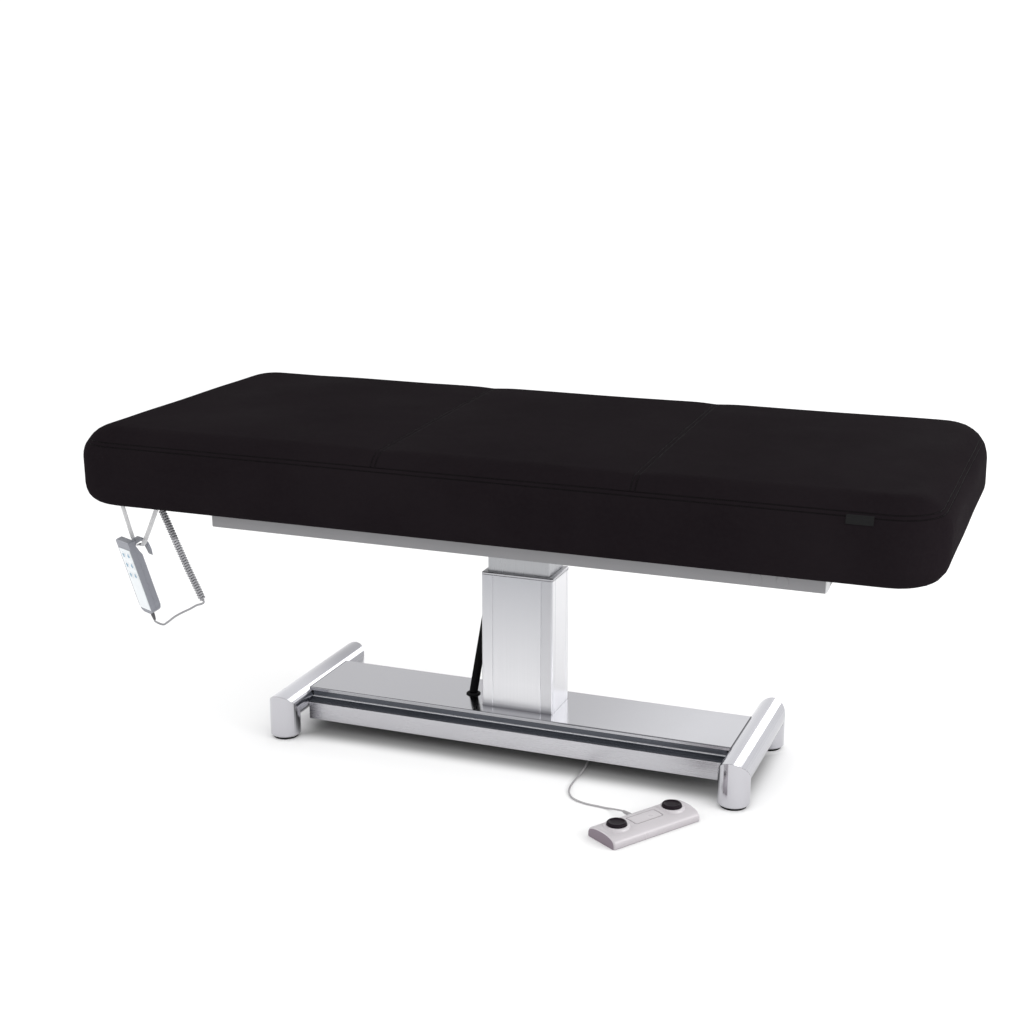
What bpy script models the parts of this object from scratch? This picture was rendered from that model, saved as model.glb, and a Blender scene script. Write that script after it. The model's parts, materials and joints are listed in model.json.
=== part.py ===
"""Electric-lift treatment couch: flat cushion on a telescopic column with a polished base.

Metres, +Z up, +X along the couch towards its foot end, -Y towards the side that carries the label.
Every piece is first placed in the column's frame (column axis at x = y = 0, floor at z = 0).
The last step shifts the whole couch so that the origin is the middle of its footprint.
"""

from math import asin, cos, pi, radians, sin

import bmesh
import bpy
from mathutils import Matrix, Vector

# ---------------------------------------------------------------- driving dimensions
GAP = 0.0003                      # clearance between touching pieces
FRAME_SHIFT = Vector((-0.0230, 0.01806, 0.0))

CUSHION_LENGTH, CUSHION_WIDTH = 1.892, 0.860
CUSHION_X = 0.0230                # cushion centre, seen from the column axis
CUSHION_BOTTOM, CUSHION_TOP = 0.5886, 0.758
CUSHION_CORNER = 0.105            # plan radius of the corners
EDGE_TOP, EDGE_BOTTOM = 0.068, 0.045   # radii of the top and bottom edges
LABEL_LEFT, LABEL_RIGHT = 0.7830, 0.8360
LABEL_LOW, LABEL_HIGH, LABEL_THICK = 0.7140, 0.7305, 0.0012
BOARD_LENGTH, BOARD_WIDTH, BOARD_THICK = 1.770, 0.760, 0.012

RAIL_LEFT, RAIL_RIGHT = -0.590, 0.747
RAIL_FACE_Y = 0.370               # outer faces of the two long deck rails
RAIL_DEPTH, RAIL_HEIGHT, RAIL_WALL = 0.040, 0.0307, 0.0025
RAIL_TOP = CUSHION_BOTTOM - GAP
RAIL_BOTTOM = RAIL_TOP - RAIL_HEIGHT
PLUG_XS, PLUG_RADIUS = (0.612, 0.664), 0.0125
CHANNEL_WIDTH, CHANNEL_WALL = 0.190, 0.004

BAR_X, BAR_HALF, BAR_Z, BAR_RADIUS = 0.540, 0.171, 0.073, 0.0355
BAR_WALL = 0.003
POST_BOTTOM = 0.006
PAD_RADIUS = 0.0300

PLATE_FRONT, PLATE_REAR, PLATE_TOP, PLATE_THICK = -0.091, 0.099, 0.098, 0.002
RAIL_END_X = 0.5042               # ends of the base rails, just inside the bars
FASCIA_Y, FASCIA_TOP, FASCIA_BOTTOM = -0.118, 0.0690, 0.0277
SPINE_BOTTOM, SPINE_TOP, SPINE_HALF = 0.0500, 0.0620, 0.085

OUTER_W, OUTER_D, OUTER_WALL = 0.172, 0.113, 0.0035
MID_W, MID_D, MID_WALL = 0.149, 0.090, 0.0030
INNER_W, INNER_D, INNER_WALL = 0.127, 0.068, 0.0030
FLANGE_TOP = 0.0703
OUTER_TOP, COLLAR_TOP = 0.4150, 0.4213
MID_BOTTOM, MID_TOP = 0.1810, 0.4810
INNER_BOTTOM = 0.2410
HEAD_TOP = RAIL_BOTTOM - GAP
HEAD_BOTTOM = HEAD_TOP - 0.008
INNER_TOP = HEAD_BOTTOM - GAP

SLEEVE_RADIUS = 0.0099
SLEEVE_ROUTE = [
    (-0.1320, 0.0040, PLATE_TOP + 0.0045), (-0.1282, 0.0167, 0.150), (-0.1233, 0.0327, 0.210),
    (-0.1177, 0.0513, 0.280), (-0.1120, 0.0700, 0.350), (-0.1090, 0.0840, 0.430),
    (-0.1085, 0.0900, 0.500), (-0.1085, 0.0910, HEAD_TOP - 0.0003),
]

HANDSET_AT = (-0.8250, -0.3750, 0.5010)
HANDSET_YAW, HANDSET_TILT = -25.0, 17.0
HS_WIDTH, HS_LENGTH, HS_SPLIT, HS_THICK, HS_NECK = 0.053, 0.189, 0.0120, 0.0250, 0.0165
KEY_ROWS, KEY_COLUMNS = (-0.036, -0.062, -0.088), (-0.0105, 0.0105)
KEY_SIZE = (0.0130, 0.0022, 0.0150)
HS_CORD_Y = 0.0110
HOOK_HALF = 0.0090
HOOK_OUTLINE = [                  # (depth, height) in the handset's frame: root, arch, tail, and back inside
    (0.0135, -0.0270), (0.0135, -0.0160), (0.0203, -0.01375), (0.0308, -0.0121), (0.0450, -0.0115),
    (0.0525, -0.0185), (0.0570, -0.0320), (0.0585, -0.0490), (0.0565, -0.0640), (0.0545, -0.0490),
    (0.0525, -0.0340), (0.0485, -0.0235), (0.0430, -0.0180), (0.0265, -0.0190), (0.0225, -0.0270),
]
STRAP_WIDTH, STRAP_THICK = 0.0108, 0.0012
STRAP_TOPS_X = (-0.8495, -0.7510)
STRAP_LOW = (0.0, 0.0385, -0.0263)   # lowest point of the strap, in the handset's frame
COIL_RADIUS, TAIL_RADIUS = 0.0086, 0.0024

FOOT_AT, FOOT_ANGLE = (0.3945, -0.3465), 57.0
FOOT_LENGTH, FOOT_WIDTH, FOOT_HEIGHT = 0.232, 0.088, 0.0275
FOOT_SKIRT, ARCH_POWER = 0.003, 0.55   # upright edge above the floor; how full the arch is
BUTTON_OFFSET, BUTTON_RADIUS, BUTTON_TOP = 0.0745, 0.0210, 0.0368
FOOT_CORD_RADIUS = 0.0020

for stale in list(bpy.data.objects):
    bpy.data.objects.remove(stale, do_unlink=True)


# ---------------------------------------------------------------- helpers
def material(name, colour, roughness, metallic=0.0):
    found = bpy.data.materials.get(name)
    if found:
        return found
    new = bpy.data.materials.new(name)
    new.use_nodes = True
    shader = new.node_tree.nodes["Principled BSDF"]
    shader.inputs["Base Color"].default_value = (*colour, 1.0)
    shader.inputs["Roughness"].default_value = roughness
    shader.inputs["Metallic"].default_value = metallic
    new.diffuse_color = (*colour, 1.0)
    return new


CHROME = material("polished_steel", (0.72, 0.72, 0.75), 0.12, 1.0)
DARK_TRIM = material("dark_trim", (0.045, 0.050, 0.062), 0.20, 0.6)
ALUMINIUM = material("satin_aluminium", (0.62, 0.63, 0.65), 0.35, 1.0)
PAINTED = material("grey_paint", (0.50, 0.50, 0.52), 0.40, 0.3)
STEEL = material("plain_steel", (0.40, 0.40, 0.42), 0.40, 1.0)
RUBBER = material("black_rubber", (0.012, 0.012, 0.013), 0.75)
BLACK_PLASTIC = material("black_plastic", (0.020, 0.020, 0.022), 0.45)
VINYL = material("black_leatherette", (0.012, 0.010, 0.011), 0.42)
LABEL = material("woven_label", (0.010, 0.010, 0.011), 0.80)
PLYWOOD = material("plywood", (0.48, 0.34, 0.20), 0.70)
NYLON = material("glide_nylon", (0.70, 0.70, 0.68), 0.50)
GREY_PLASTIC = material("grey_plastic", (0.27, 0.28, 0.32), 0.40)
WHITE_PLASTIC = material("white_plastic", (0.78, 0.76, 0.77), 0.35)
WEBBING = material("white_webbing", (0.72, 0.72, 0.74), 0.85)
MEMBRANE = material("white_membrane", (0.86, 0.88, 0.91), 0.30)
CORD_GREY = material("grey_cord", (0.20, 0.20, 0.21), 0.50)
CORD_WHITE = material("white_cord", (0.70, 0.69, 0.70), 0.45)


def empty(name, place, parent=None, rotation=None):
    made = bpy.data.objects.new(name, None)
    made.empty_display_size = 0.05
    bpy.context.scene.collection.objects.link(made)
    made.location = place
    if rotation is not None:
        made.rotation_euler = rotation
    if parent is not None:
        made.parent = parent
    return made


def finish(name, bm, mat, parent=None, local=False, smooth=False, at=None):
    """Turn a bmesh into a named object. local=True: its mesh is in the parent's own axes."""
    bmesh.ops.recalc_face_normals(bm, faces=bm.faces)
    mesh = bpy.data.meshes.new(name)
    bm.to_mesh(mesh)
    bm.free()
    mesh.materials.append(mat)
    if smooth:
        mesh.shade_smooth()
        mesh.set_sharp_from_angle(angle=radians(35))
    made = bpy.data.objects.new(name, mesh)
    bpy.context.scene.collection.objects.link(made)
    if at is not None:
        made.location = at
    if parent is not None:
        made.parent = parent
        if not local:
            bpy.context.view_layer.update()
            made.matrix_parent_inverse = parent.matrix_world.inverted()
    return made


def add_box(bm, low, high, bevel=0.0, segments=2):
    low, high = Vector(low), Vector(high)
    place = Matrix.Translation((low + high) / 2) @ Matrix.Diagonal((*(high - low), 1.0))
    made = bmesh.ops.create_cube(bm, size=1.0, matrix=place)["verts"]
    if bevel:
        edges = list({edge for vert in made for edge in vert.link_edges})
        bmesh.ops.bevel(bm, geom=edges, offset=bevel, segments=segments, profile=0.5, affect="EDGES")


def add_rod(bm, centre, radius, length, axis="Z", sides=24, radius_top=None):
    """A solid cylinder or cone whose middle is at centre."""
    turn = {"X": Matrix.Rotation(pi / 2, 4, "Y"), "Y": Matrix.Rotation(-pi / 2, 4, "X"), "Z": Matrix()}
    top = radius if radius_top is None else radius_top
    bmesh.ops.create_cone(bm, cap_ends=True, segments=sides, radius1=radius, radius2=top,
                          depth=length, matrix=Matrix.Translation(centre) @ turn[axis])


def bridge_rings(bm, rings, closed=False):
    """Quads between successive rings of vertices; the last joins the first when closed."""
    pairs = list(zip(rings, rings[1:]))
    if closed:
        pairs.append((rings[-1], rings[0]))
    for low, high in pairs:
        count = len(low)
        for k in range(count):
            bm.faces.new((low[k], low[(k + 1) % count], high[(k + 1) % count], high[k]))


def add_loft(bm, rings):
    """A capped solid through rings of points."""
    made = [[bm.verts.new(point) for point in ring] for ring in rings]
    bridge_rings(bm, made)
    bm.faces.new(made[0])
    bm.faces.new(made[-1])


def add_prism_x(bm, outline, x0, x1):
    """Extrude a closed (y, z) outline along X."""
    add_loft(bm, [[(x, y, z) for y, z in outline] for x in (x0, x1)])


def rounded_rectangle(width, depth, radius, steps=4):
    """Points round a rectangle with arcs at the corners, counter-clockwise."""
    points = []
    for cx, cy, start in ((1, 1, 0), (-1, 1, 90), (-1, -1, 180), (1, -1, 270)):
        for k in range(steps + 1):
            angle = radians(start + 90 * k / steps)
            points.append((cx * (width / 2 - radius) + radius * cos(angle),
                           cy * (depth / 2 - radius) + radius * sin(angle)))
    return points


def add_pipe(bm, outer, inner, z0, z1):
    """A straight tube along Z with the given outer and inner outlines."""
    rings = []
    for outline, z in ((outer, z0), (outer, z1)):
        rings.append([bm.verts.new((x, y, z)) for x, y in outline])
    bores = []
    for z in (z1, z0):
        bores.append([bm.verts.new((x, y, z)) for x, y in inner])
    bridge_rings(bm, rings)
    bridge_rings(bm, bores)
    for ends in ((rings[1], bores[0]), (rings[0], bores[1])):
        loops = [edge for ring in ends for vert in ring for edge in vert.link_edges
                 if edge.other_vert(vert) in ring]
        bmesh.ops.bridge_loops(bm, edges=list(set(loops)))


def cutter(name, bm):
    made = finish(name, bm, STEEL)
    made.hide_render = True
    made.display_type = "WIRE"
    return made


def cut(target, tool):
    boolean = target.modifiers.new("cut", "BOOLEAN")
    boolean.operation = "DIFFERENCE"
    boolean.solver = "EXACT"
    boolean.object = tool


def join(target, tool):
    boolean = target.modifiers.new("join", "BOOLEAN")
    boolean.operation = "UNION"
    boolean.solver = "EXACT"
    boolean.object = tool


def smooth_points(route, spacing):
    """Points at an even spacing on a Catmull-Rom curve through the route."""
    knots = [Vector(point) for point in route]
    knots = [knots[0] * 2 - knots[1]] + knots + [knots[-1] * 2 - knots[-2]]
    dense = []
    for a, b, c, d in zip(knots, knots[1:], knots[2:], knots[3:]):
        for k in range(24):
            t = k / 24
            dense.append(0.5 * (2 * b + (c - a) * t + (2 * a - 5 * b + 4 * c - d) * t * t
                                + (3 * b - a - 3 * c + d) * t ** 3))
    dense.append(knots[-2])
    lengths = [0.0]
    for here, there in zip(dense, dense[1:]):
        lengths.append(lengths[-1] + (there - here).length)
    count = max(2, round(lengths[-1] / spacing))
    points, at = [], 0
    for k in range(count + 1):
        goal = lengths[-1] * k / count
        while at < len(lengths) - 2 and lengths[at + 1] < goal:
            at += 1
        span = lengths[at + 1] - lengths[at]
        points.append(dense[at].lerp(dense[at + 1], (goal - lengths[at]) / span if span else 0.0))
    return points


def tube(name, points, radius, mat, resolution=2, parent=None):
    """A round cord or sleeve: a curve with a bevel and filled caps."""
    curve = bpy.data.curves.new(name, "CURVE")
    curve.dimensions = "3D"
    curve.bevel_depth = radius
    curve.bevel_resolution = resolution
    curve.use_fill_caps = True
    spline = curve.splines.new("POLY")
    spline.points.add(len(points) - 1)
    for target, point in zip(spline.points, points):
        target.co = (*point, 1.0)
    curve.materials.append(mat)
    made = bpy.data.objects.new(name, curve)
    bpy.context.scene.collection.objects.link(made)
    if parent is not None:
        made.parent = parent
        bpy.context.view_layer.update()
        made.matrix_parent_inverse = parent.matrix_world.inverted()
    return made


# ---------------------------------------------------------------- base
def mitred_bar(name, x):
    """Cross tube along Y; both ends are cut at 45 degrees to meet the posts."""
    bm = bmesh.new()
    sides = 40
    rings = []
    for radius, ends in ((BAR_RADIUS, (-1, 1)), (BAR_RADIUS - BAR_WALL, (1, -1))):
        for end in ends:
            ring = []
            for k in range(sides):
                angle = 2 * pi * k / sides
                rise = radius * sin(angle)
                y = end * (BAR_HALF + rise - GAP)
                ring.append(bm.verts.new((x + radius * cos(angle), y, BAR_Z + rise)))
            rings.append(ring)
    bridge_rings(bm, rings, closed=True)
    return finish(name, bm, CHROME, smooth=True)


def end_post(name, x, side):
    """Short post of the bar's own tube, mitred at the top, closed by a foot plate below."""
    sides = 40
    bore = BAR_RADIUS - BAR_WALL
    rings = []
    for radius, high in ((BAR_RADIUS - 0.003, POST_BOTTOM), (BAR_RADIUS, POST_BOTTOM + 0.003),
                         (BAR_RADIUS, None), (bore, None), (bore, POST_BOTTOM + 0.006)):
        ring = []
        for k in range(sides):
            angle = 2 * pi * k / sides
            out = radius * sin(angle)
            z = BAR_Z + out - GAP if high is None else high
            ring.append((x + radius * cos(angle), side * (BAR_HALF + out), z))
        rings.append(ring)
    bm = bmesh.new()
    add_loft(bm, rings)
    finish(name, bm, CHROME, smooth=True)


def foot_pad(name, x, side):
    top = POST_BOTTOM - GAP
    bm = bmesh.new()
    add_rod(bm, (x, side * BAR_HALF, top / 2), PAD_RADIUS - 0.0015, top, sides=32, radius_top=PAD_RADIUS)
    finish(name, bm, RUBBER, smooth=True)


def bar_cutter():
    bm = bmesh.new()
    for x in (-BAR_X, BAR_X):
        add_rod(bm, (x, 0, BAR_Z), BAR_RADIUS + GAP, 2 * BAR_HALF - 0.02, axis="Y", sides=40)
    return cutter("bar_cutter", bm)


def column_cutter():
    bm = bmesh.new()
    add_box(bm, (-OUTER_W / 2 - GAP, -OUTER_D / 2 - GAP, 0.080), (OUTER_W / 2 + GAP, OUTER_D / 2 + GAP, 0.12))
    add_rod(bm, (SLEEVE_ROUTE[0][0], SLEEVE_ROUTE[0][1], 0.098), 0.0125, 0.02, sides=24)
    return cutter("column_cutter", bm)


def base(bars):
    bm = bmesh.new()
    add_box(bm, (-0.504, -SPINE_HALF, SPINE_BOTTOM), (0.504, SPINE_HALF, SPINE_TOP))
    finish("base_spine", bm, STEEL)

    # fascia rail: vertical face, a rounded front edge and a ledge that runs back under the trim
    outline = [(FASCIA_Y, FASCIA_BOTTOM), (FASCIA_Y, FASCIA_TOP - 0.0016)]
    for k in range(1, 4):
        angle = radians(180 - 30 * k)
        outline.append((FASCIA_Y + 0.0016 + 0.0016 * cos(angle), FASCIA_TOP - 0.0016 + 0.0016 * sin(angle)))
    outline += [(-0.0900, FASCIA_TOP), (-0.0900, FASCIA_TOP - 0.0025), (FASCIA_Y + 0.0025, FASCIA_TOP - 0.0025),
                (FASCIA_Y + 0.0025, FASCIA_BOTTOM + 0.0025), (-0.0900, FASCIA_BOTTOM + 0.0025),
                (-0.0900, FASCIA_BOTTOM)]
    bm = bmesh.new()
    add_prism_x(bm, outline, -RAIL_END_X, RAIL_END_X)
    finish("base_front_rail", bm, CHROME, smooth=True)

    # trim strip: a low ramp, a rounded ridge, then an upright that ends under the cover's lip
    low = FASCIA_TOP + GAP
    ridge_y, ridge_z = -0.0975, 0.0780
    outline = [(-0.1150, low), (-0.1150, low + 0.0010), (ridge_y - 0.0010, low + 0.0045),
               (ridge_y - 0.0016, ridge_z - 0.0016)]
    for k in range(0, 5):
        angle = radians(180 - 30 * k)
        outline.append((ridge_y + 0.0010 * cos(angle), ridge_z - 0.0006 + 0.0010 * sin(angle)))
    outline += [(-0.0950, ridge_z - 0.0010), (-0.0945, 0.0895), (-0.0915, 0.0895), (-0.0915, low)]
    bm = bmesh.new()
    add_prism_x(bm, outline, -RAIL_END_X, RAIL_END_X)
    finish("base_trim_strip", bm, DARK_TRIM, smooth=True)

    bm = bmesh.new()
    rear, top = PLATE_REAR - PLATE_THICK - 0.0005, PLATE_TOP - PLATE_THICK - GAP
    outline = [(SPINE_HALF + GAP, FASCIA_BOTTOM), (rear, FASCIA_BOTTOM), (rear, top), (SPINE_HALF + GAP, top)]
    add_prism_x(bm, outline, -RAIL_END_X, RAIL_END_X)
    finish("base_rear_rail", bm, CHROME)

    # folded cover: flat top, a short front lip and a deep rear flange
    inside = PLATE_THICK
    outline = [(PLATE_FRONT - 0.0040, 0.0902), (PLATE_FRONT - 0.0040, PLATE_TOP - 0.0016),
               (PLATE_FRONT - 0.0034, PLATE_TOP - 0.0005), (PLATE_FRONT - 0.0022, PLATE_TOP),
               (PLATE_REAR - 0.0012, PLATE_TOP),
               (PLATE_REAR, PLATE_TOP - 0.0012), (PLATE_REAR, 0.0300), (PLATE_REAR - inside, 0.0300),
               (PLATE_REAR - inside, PLATE_TOP - inside), (PLATE_FRONT - 0.0040 + inside, PLATE_TOP - inside),
               (PLATE_FRONT - 0.0040 + inside, 0.0902)]
    bm = bmesh.new()
    add_prism_x(bm, outline, -0.530, 0.530)
    cover = finish("base_top_plate", bm, CHROME, smooth=True)
    cut(cover, bars)
    cut(cover, column_cutter())

    bm = bmesh.new()
    add_box(bm, (0.150, -0.062, SPINE_TOP + GAP), (0.390, 0.062, 0.0930), bevel=0.003)
    finish("control_box", bm, BLACK_PLASTIC)

    bm = bmesh.new()
    add_box(bm, (-0.330, PLATE_REAR + GAP, 0.042), (-0.282, PLATE_REAR + 0.006, 0.074), bevel=0.002)
    finish("mains_inlet", bm, BLACK_PLASTIC)

    bm = bmesh.new()
    add_box(bm, (0.156, 0.012, 0.0300), (0.190, 0.046, SPINE_BOTTOM - GAP), bevel=0.0015)
    finish("foot_cord_socket", bm, BLACK_PLASTIC)


def grommet():
    """Flanged bush in the cover, with the cable sleeve standing in it."""
    bm = bmesh.new()
    x, y = SLEEVE_ROUTE[0][0], SLEEVE_ROUTE[0][1]
    profile = [(0.0108, PLATE_TOP - 0.006), (0.0122, PLATE_TOP - 0.006), (0.0122, PLATE_TOP + GAP),
               (0.0168, PLATE_TOP + GAP), (0.0168, PLATE_TOP + 0.0018), (0.0150, PLATE_TOP + 0.0034),
               (0.0128, PLATE_TOP + 0.0040), (0.0108, PLATE_TOP + 0.0040)]
    rings = []
    for radius, z in profile:
        rings.append([bm.verts.new((x + radius * cos(2 * pi * k / 32), y + radius * sin(2 * pi * k / 32), z))
                      for k in range(32)])
    bridge_rings(bm, rings, closed=True)
    finish("sleeve_grommet", bm, RUBBER, smooth=True)


# ---------------------------------------------------------------- column
def grooved_outline():
    """Outer tube's outline: rounded corners and a fine groove near both ends of each face."""
    corner, half, deep = 0.0045, 0.0009, 0.0010
    front, side = 0.0585, 0.0370
    w, d = OUTER_W / 2, OUTER_D / 2
    points = []
    for sx, sy, start in ((1, 1, 0), (-1, 1, 90), (-1, -1, 180), (1, -1, 270)):
        for k in range(5):
            angle = radians(start + 22.5 * k)
            points.append((sx * (w - corner) + corner * cos(angle), sy * (d - corner) + corner * sin(angle)))
        if start in (0, 180):
            y = sy * d
            for x in (sx * front, -sx * front):
                points += [(x + sx * half, y), (x, y - sy * deep), (x - sx * half, y)]
        else:
            x = sx * w
            for y in (sy * side, -sy * side):
                points += [(x, y + sy * half), (x - sx * deep, y), (x, y - sy * half)]
    return points


def glide_sleeve(name, outer, inner, z0, z1, parent=None):
    """Nylon sleeve that fills the gap between an outer bore (w, d) and an inner tube (w, d)."""
    bm = bmesh.new()
    add_pipe(bm, rounded_rectangle(outer[0] - 2 * GAP, outer[1] - 2 * GAP, 0.0030),
             rounded_rectangle(inner[0] + 2 * GAP, inner[1] + 2 * GAP, 0.0035), z0, z1)
    finish(name, bm, NYLON, parent)


def column(mid, lift):
    bm = bmesh.new()
    add_pipe(bm, rounded_rectangle(0.212, 0.150, 0.008), rounded_rectangle(0.060, 0.060, 0.008),
             SPINE_TOP + GAP, FLANGE_TOP)
    flange = cutter("flange_union", bm)

    bm = bmesh.new()
    bore_w, bore_d = OUTER_W - 2 * OUTER_WALL, OUTER_D - 2 * OUTER_WALL
    outline = grooved_outline()
    add_pipe_uneven(bm, outline, rounded_rectangle(bore_w, bore_d, 0.0015, 2), FLANGE_TOP - 0.002, OUTER_TOP)
    join(finish("column_outer_tube", bm, ALUMINIUM, smooth=True), flange)

    bm = bmesh.new()
    opening = rounded_rectangle(MID_W + 0.0012, MID_D + 0.0012, 0.0035)
    rings = []
    for grow, z in ((-0.0014, OUTER_TOP + GAP), (0.0, OUTER_TOP + 0.0014), (0.0, COLLAR_TOP - 0.0016),
                    (-0.0040, COLLAR_TOP)):
        outline = rounded_rectangle(OUTER_W + grow, OUTER_D + grow, 0.0045 + grow / 2)
        rings.append([bm.verts.new((x, y, z)) for x, y in outline])
    for z in (COLLAR_TOP, OUTER_TOP + GAP):
        rings.append([bm.verts.new((x, y, z)) for x, y in opening])
    bridge_rings(bm, rings, closed=True)
    finish("column_collar", bm, ALUMINIUM, smooth=True)

    glide_sleeve("glide_outer", (bore_w, bore_d), (MID_W, MID_D), 0.345, 0.410)

    bm = bmesh.new()
    mid_bore = (MID_W - 2 * MID_WALL, MID_D - 2 * MID_WALL)
    add_pipe(bm, rounded_rectangle(MID_W, MID_D, 0.0035), rounded_rectangle(*mid_bore, 0.0010),
             MID_BOTTOM, MID_TOP)
    finish("column_mid_tube", bm, ALUMINIUM, mid, smooth=True)

    glide_sleeve("glide_mid", mid_bore, (INNER_W, INNER_D), 0.410, 0.475, mid)

    bm = bmesh.new()
    bore = (INNER_W - 2 * INNER_WALL, INNER_D - 2 * INNER_WALL)
    add_pipe(bm, rounded_rectangle(INNER_W, INNER_D, 0.0035), rounded_rectangle(*bore, 0.0010),
             INNER_BOTTOM, INNER_TOP)
    finish("column_inner_tube", bm, ALUMINIUM, lift, smooth=True)

    bm = bmesh.new()
    add_box(bm, (-0.055, -0.032, FLANGE_TOP + GAP), (0.055, 0.032, 0.1250), bevel=0.003)
    finish("lift_gearbox", bm, BLACK_PLASTIC)

    bm = bmesh.new()
    add_rod(bm, (0, 0, (0.1253 + 0.4300) / 2), 0.0070, 0.4300 - 0.1253, sides=20)
    finish("lift_spindle", bm, STEEL, smooth=True)

    # mid stage: a cross bar that carries the nut and the hollow second screw in one turned piece
    bm = bmesh.new()
    profile = [(0.0080, 0.1900), (0.0180, 0.1900), (0.0180, 0.2150), (0.0125, 0.2150),
               (0.0125, 0.4600), (0.0080, 0.4600)]
    rings = [[bm.verts.new((r * cos(2 * pi * k / 24), r * sin(2 * pi * k / 24), z)) for k in range(24)]
             for r, z in profile]
    bridge_rings(bm, rings, closed=True)
    finish("drive_screw_stage", bm, STEEL, mid, smooth=True)

    bm = bmesh.new()
    profile = [(0.0130, 0.2630), (0.0300, 0.2630), (0.0300, 0.2850), (0.0130, 0.2850)]
    rings = [[bm.verts.new((r * cos(2 * pi * k / 24), r * sin(2 * pi * k / 24), z)) for k in range(24)]
             for r, z in profile]
    bridge_rings(bm, rings, closed=True)
    finish("drive_nut", bm, NYLON, lift, smooth=True)


def add_pipe_uneven(bm, outer, inner, z0, z1):
    """A tube whose outer and inner outlines have different numbers of points."""
    outers = [[bm.verts.new((x, y, z)) for x, y in outer] for z in (z0, z1)]
    inners = [[bm.verts.new((x, y, z)) for x, y in inner] for z in (z0, z1)]
    bridge_rings(bm, outers)
    bridge_rings(bm, inners)
    for rings in zip(outers, inners):
        edges = []
        for ring in rings:
            for k, vert in enumerate(ring):
                edges.append(bm.edges.get((vert, ring[(k + 1) % len(ring)])))
        bmesh.ops.triangle_fill(bm, edges=edges, use_beauty=True)


# ---------------------------------------------------------------- deck frame and cushion
def add_rail_x(bm, y0, y1):
    """A box rail along X, open at both ends."""
    z0, z1, wall = RAIL_BOTTOM, RAIL_TOP, RAIL_WALL
    rings = []
    for inset, ends in ((0.0, (RAIL_LEFT, RAIL_RIGHT)), (wall, (RAIL_RIGHT, RAIL_LEFT))):
        for x in ends:
            rings.append([bm.verts.new((x, y, z)) for y, z in (
                (y0 + inset, z0 + inset), (y1 - inset, z0 + inset),
                (y1 - inset, z1 - inset), (y0 + inset, z1 - inset))])
    bridge_rings(bm, rings, closed=True)


def deck(lift):
    bm = bmesh.new()
    add_box(bm, (-0.100, -0.070, HEAD_BOTTOM), (0.100, 0.070, HEAD_TOP), bevel=0.002)
    finish("column_head_plate", bm, STEEL, lift)

    rail_holes = bmesh.new()
    for x in PLUG_XS:
        add_rod(rail_holes, (x, -RAIL_FACE_Y + 0.001, (RAIL_BOTTOM + RAIL_TOP) / 2), 0.0100, 0.012, axis="Y")
    for name, y0, y1 in (("deck_rail_front", -RAIL_FACE_Y, -RAIL_FACE_Y + RAIL_DEPTH),
                         ("deck_rail_rear", RAIL_FACE_Y - RAIL_DEPTH, RAIL_FACE_Y)):
        bm = bmesh.new()
        add_rail_x(bm, y0, y1)
        rail = finish(name, bm, PAINTED, lift)
        if name == "deck_rail_front":
            cut(rail, cutter("rail_hole_cutter", rail_holes))

    middle = (RAIL_BOTTOM + RAIL_TOP) / 2
    for number, x in enumerate(PLUG_XS, 1):
        rings = []
        for radius, y in ((0.0096, RAIL_FACE_Y - 0.0040), (0.0096, RAIL_FACE_Y + GAP),
                          (PLUG_RADIUS, RAIL_FACE_Y + GAP), (PLUG_RADIUS - 0.0004, RAIL_FACE_Y + 0.0008),
                          (PLUG_RADIUS - 0.0015, RAIL_FACE_Y + 0.0012)):
            rings.append([(x + radius * cos(2 * pi * k / 28), -y, middle + radius * sin(2 * pi * k / 28))
                          for k in range(28)])
        bm = bmesh.new()
        add_loft(bm, rings)
        finish(f"deck_plug_{number}", bm, PAINTED, lift, smooth=True)

    inner_y = RAIL_FACE_Y - RAIL_DEPTH - GAP
    for name, x0 in (("deck_end_member_left", RAIL_LEFT), ("deck_end_member_right", RAIL_RIGHT - 0.030)):
        bm = bmesh.new()
        add_box(bm, (x0, -inner_y, RAIL_BOTTOM), (x0 + 0.030, inner_y, RAIL_TOP))
        finish(name, bm, PAINTED, lift)

    # one wide pressed channel carries the deck on the column head: top plate and two down-turned sides
    half, wall = CHANNEL_WIDTH / 2, CHANNEL_WALL
    outline = [(-half, RAIL_BOTTOM), (-half + 0.020, RAIL_BOTTOM), (-half + 0.020, RAIL_BOTTOM + wall),
               (-half + wall, RAIL_BOTTOM + wall), (-half + wall, RAIL_TOP - wall),
               (half - wall, RAIL_TOP - wall), (half - wall, RAIL_BOTTOM + wall),
               (half - 0.020, RAIL_BOTTOM + wall), (half - 0.020, RAIL_BOTTOM), (half, RAIL_BOTTOM),
               (half, RAIL_TOP), (-half, RAIL_TOP)]
    bm = bmesh.new()
    add_loft(bm, [[(x, y, z) for x, z in outline] for y in (-inner_y, inner_y)])
    finish("deck_cross_channel", bm, PAINTED, lift)

    bm = bmesh.new()
    board_low, board_high = RAIL_TOP + GAP, RAIL_TOP + GAP + BOARD_THICK
    outline = rounded_rectangle(BOARD_LENGTH, BOARD_WIDTH, 0.040, 5)
    add_loft(bm, [[(CUSHION_X + x, y, z) for x, y in outline] for z in (board_low, board_high)])
    finish("deck_board", bm, PLYWOOD, lift)


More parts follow.
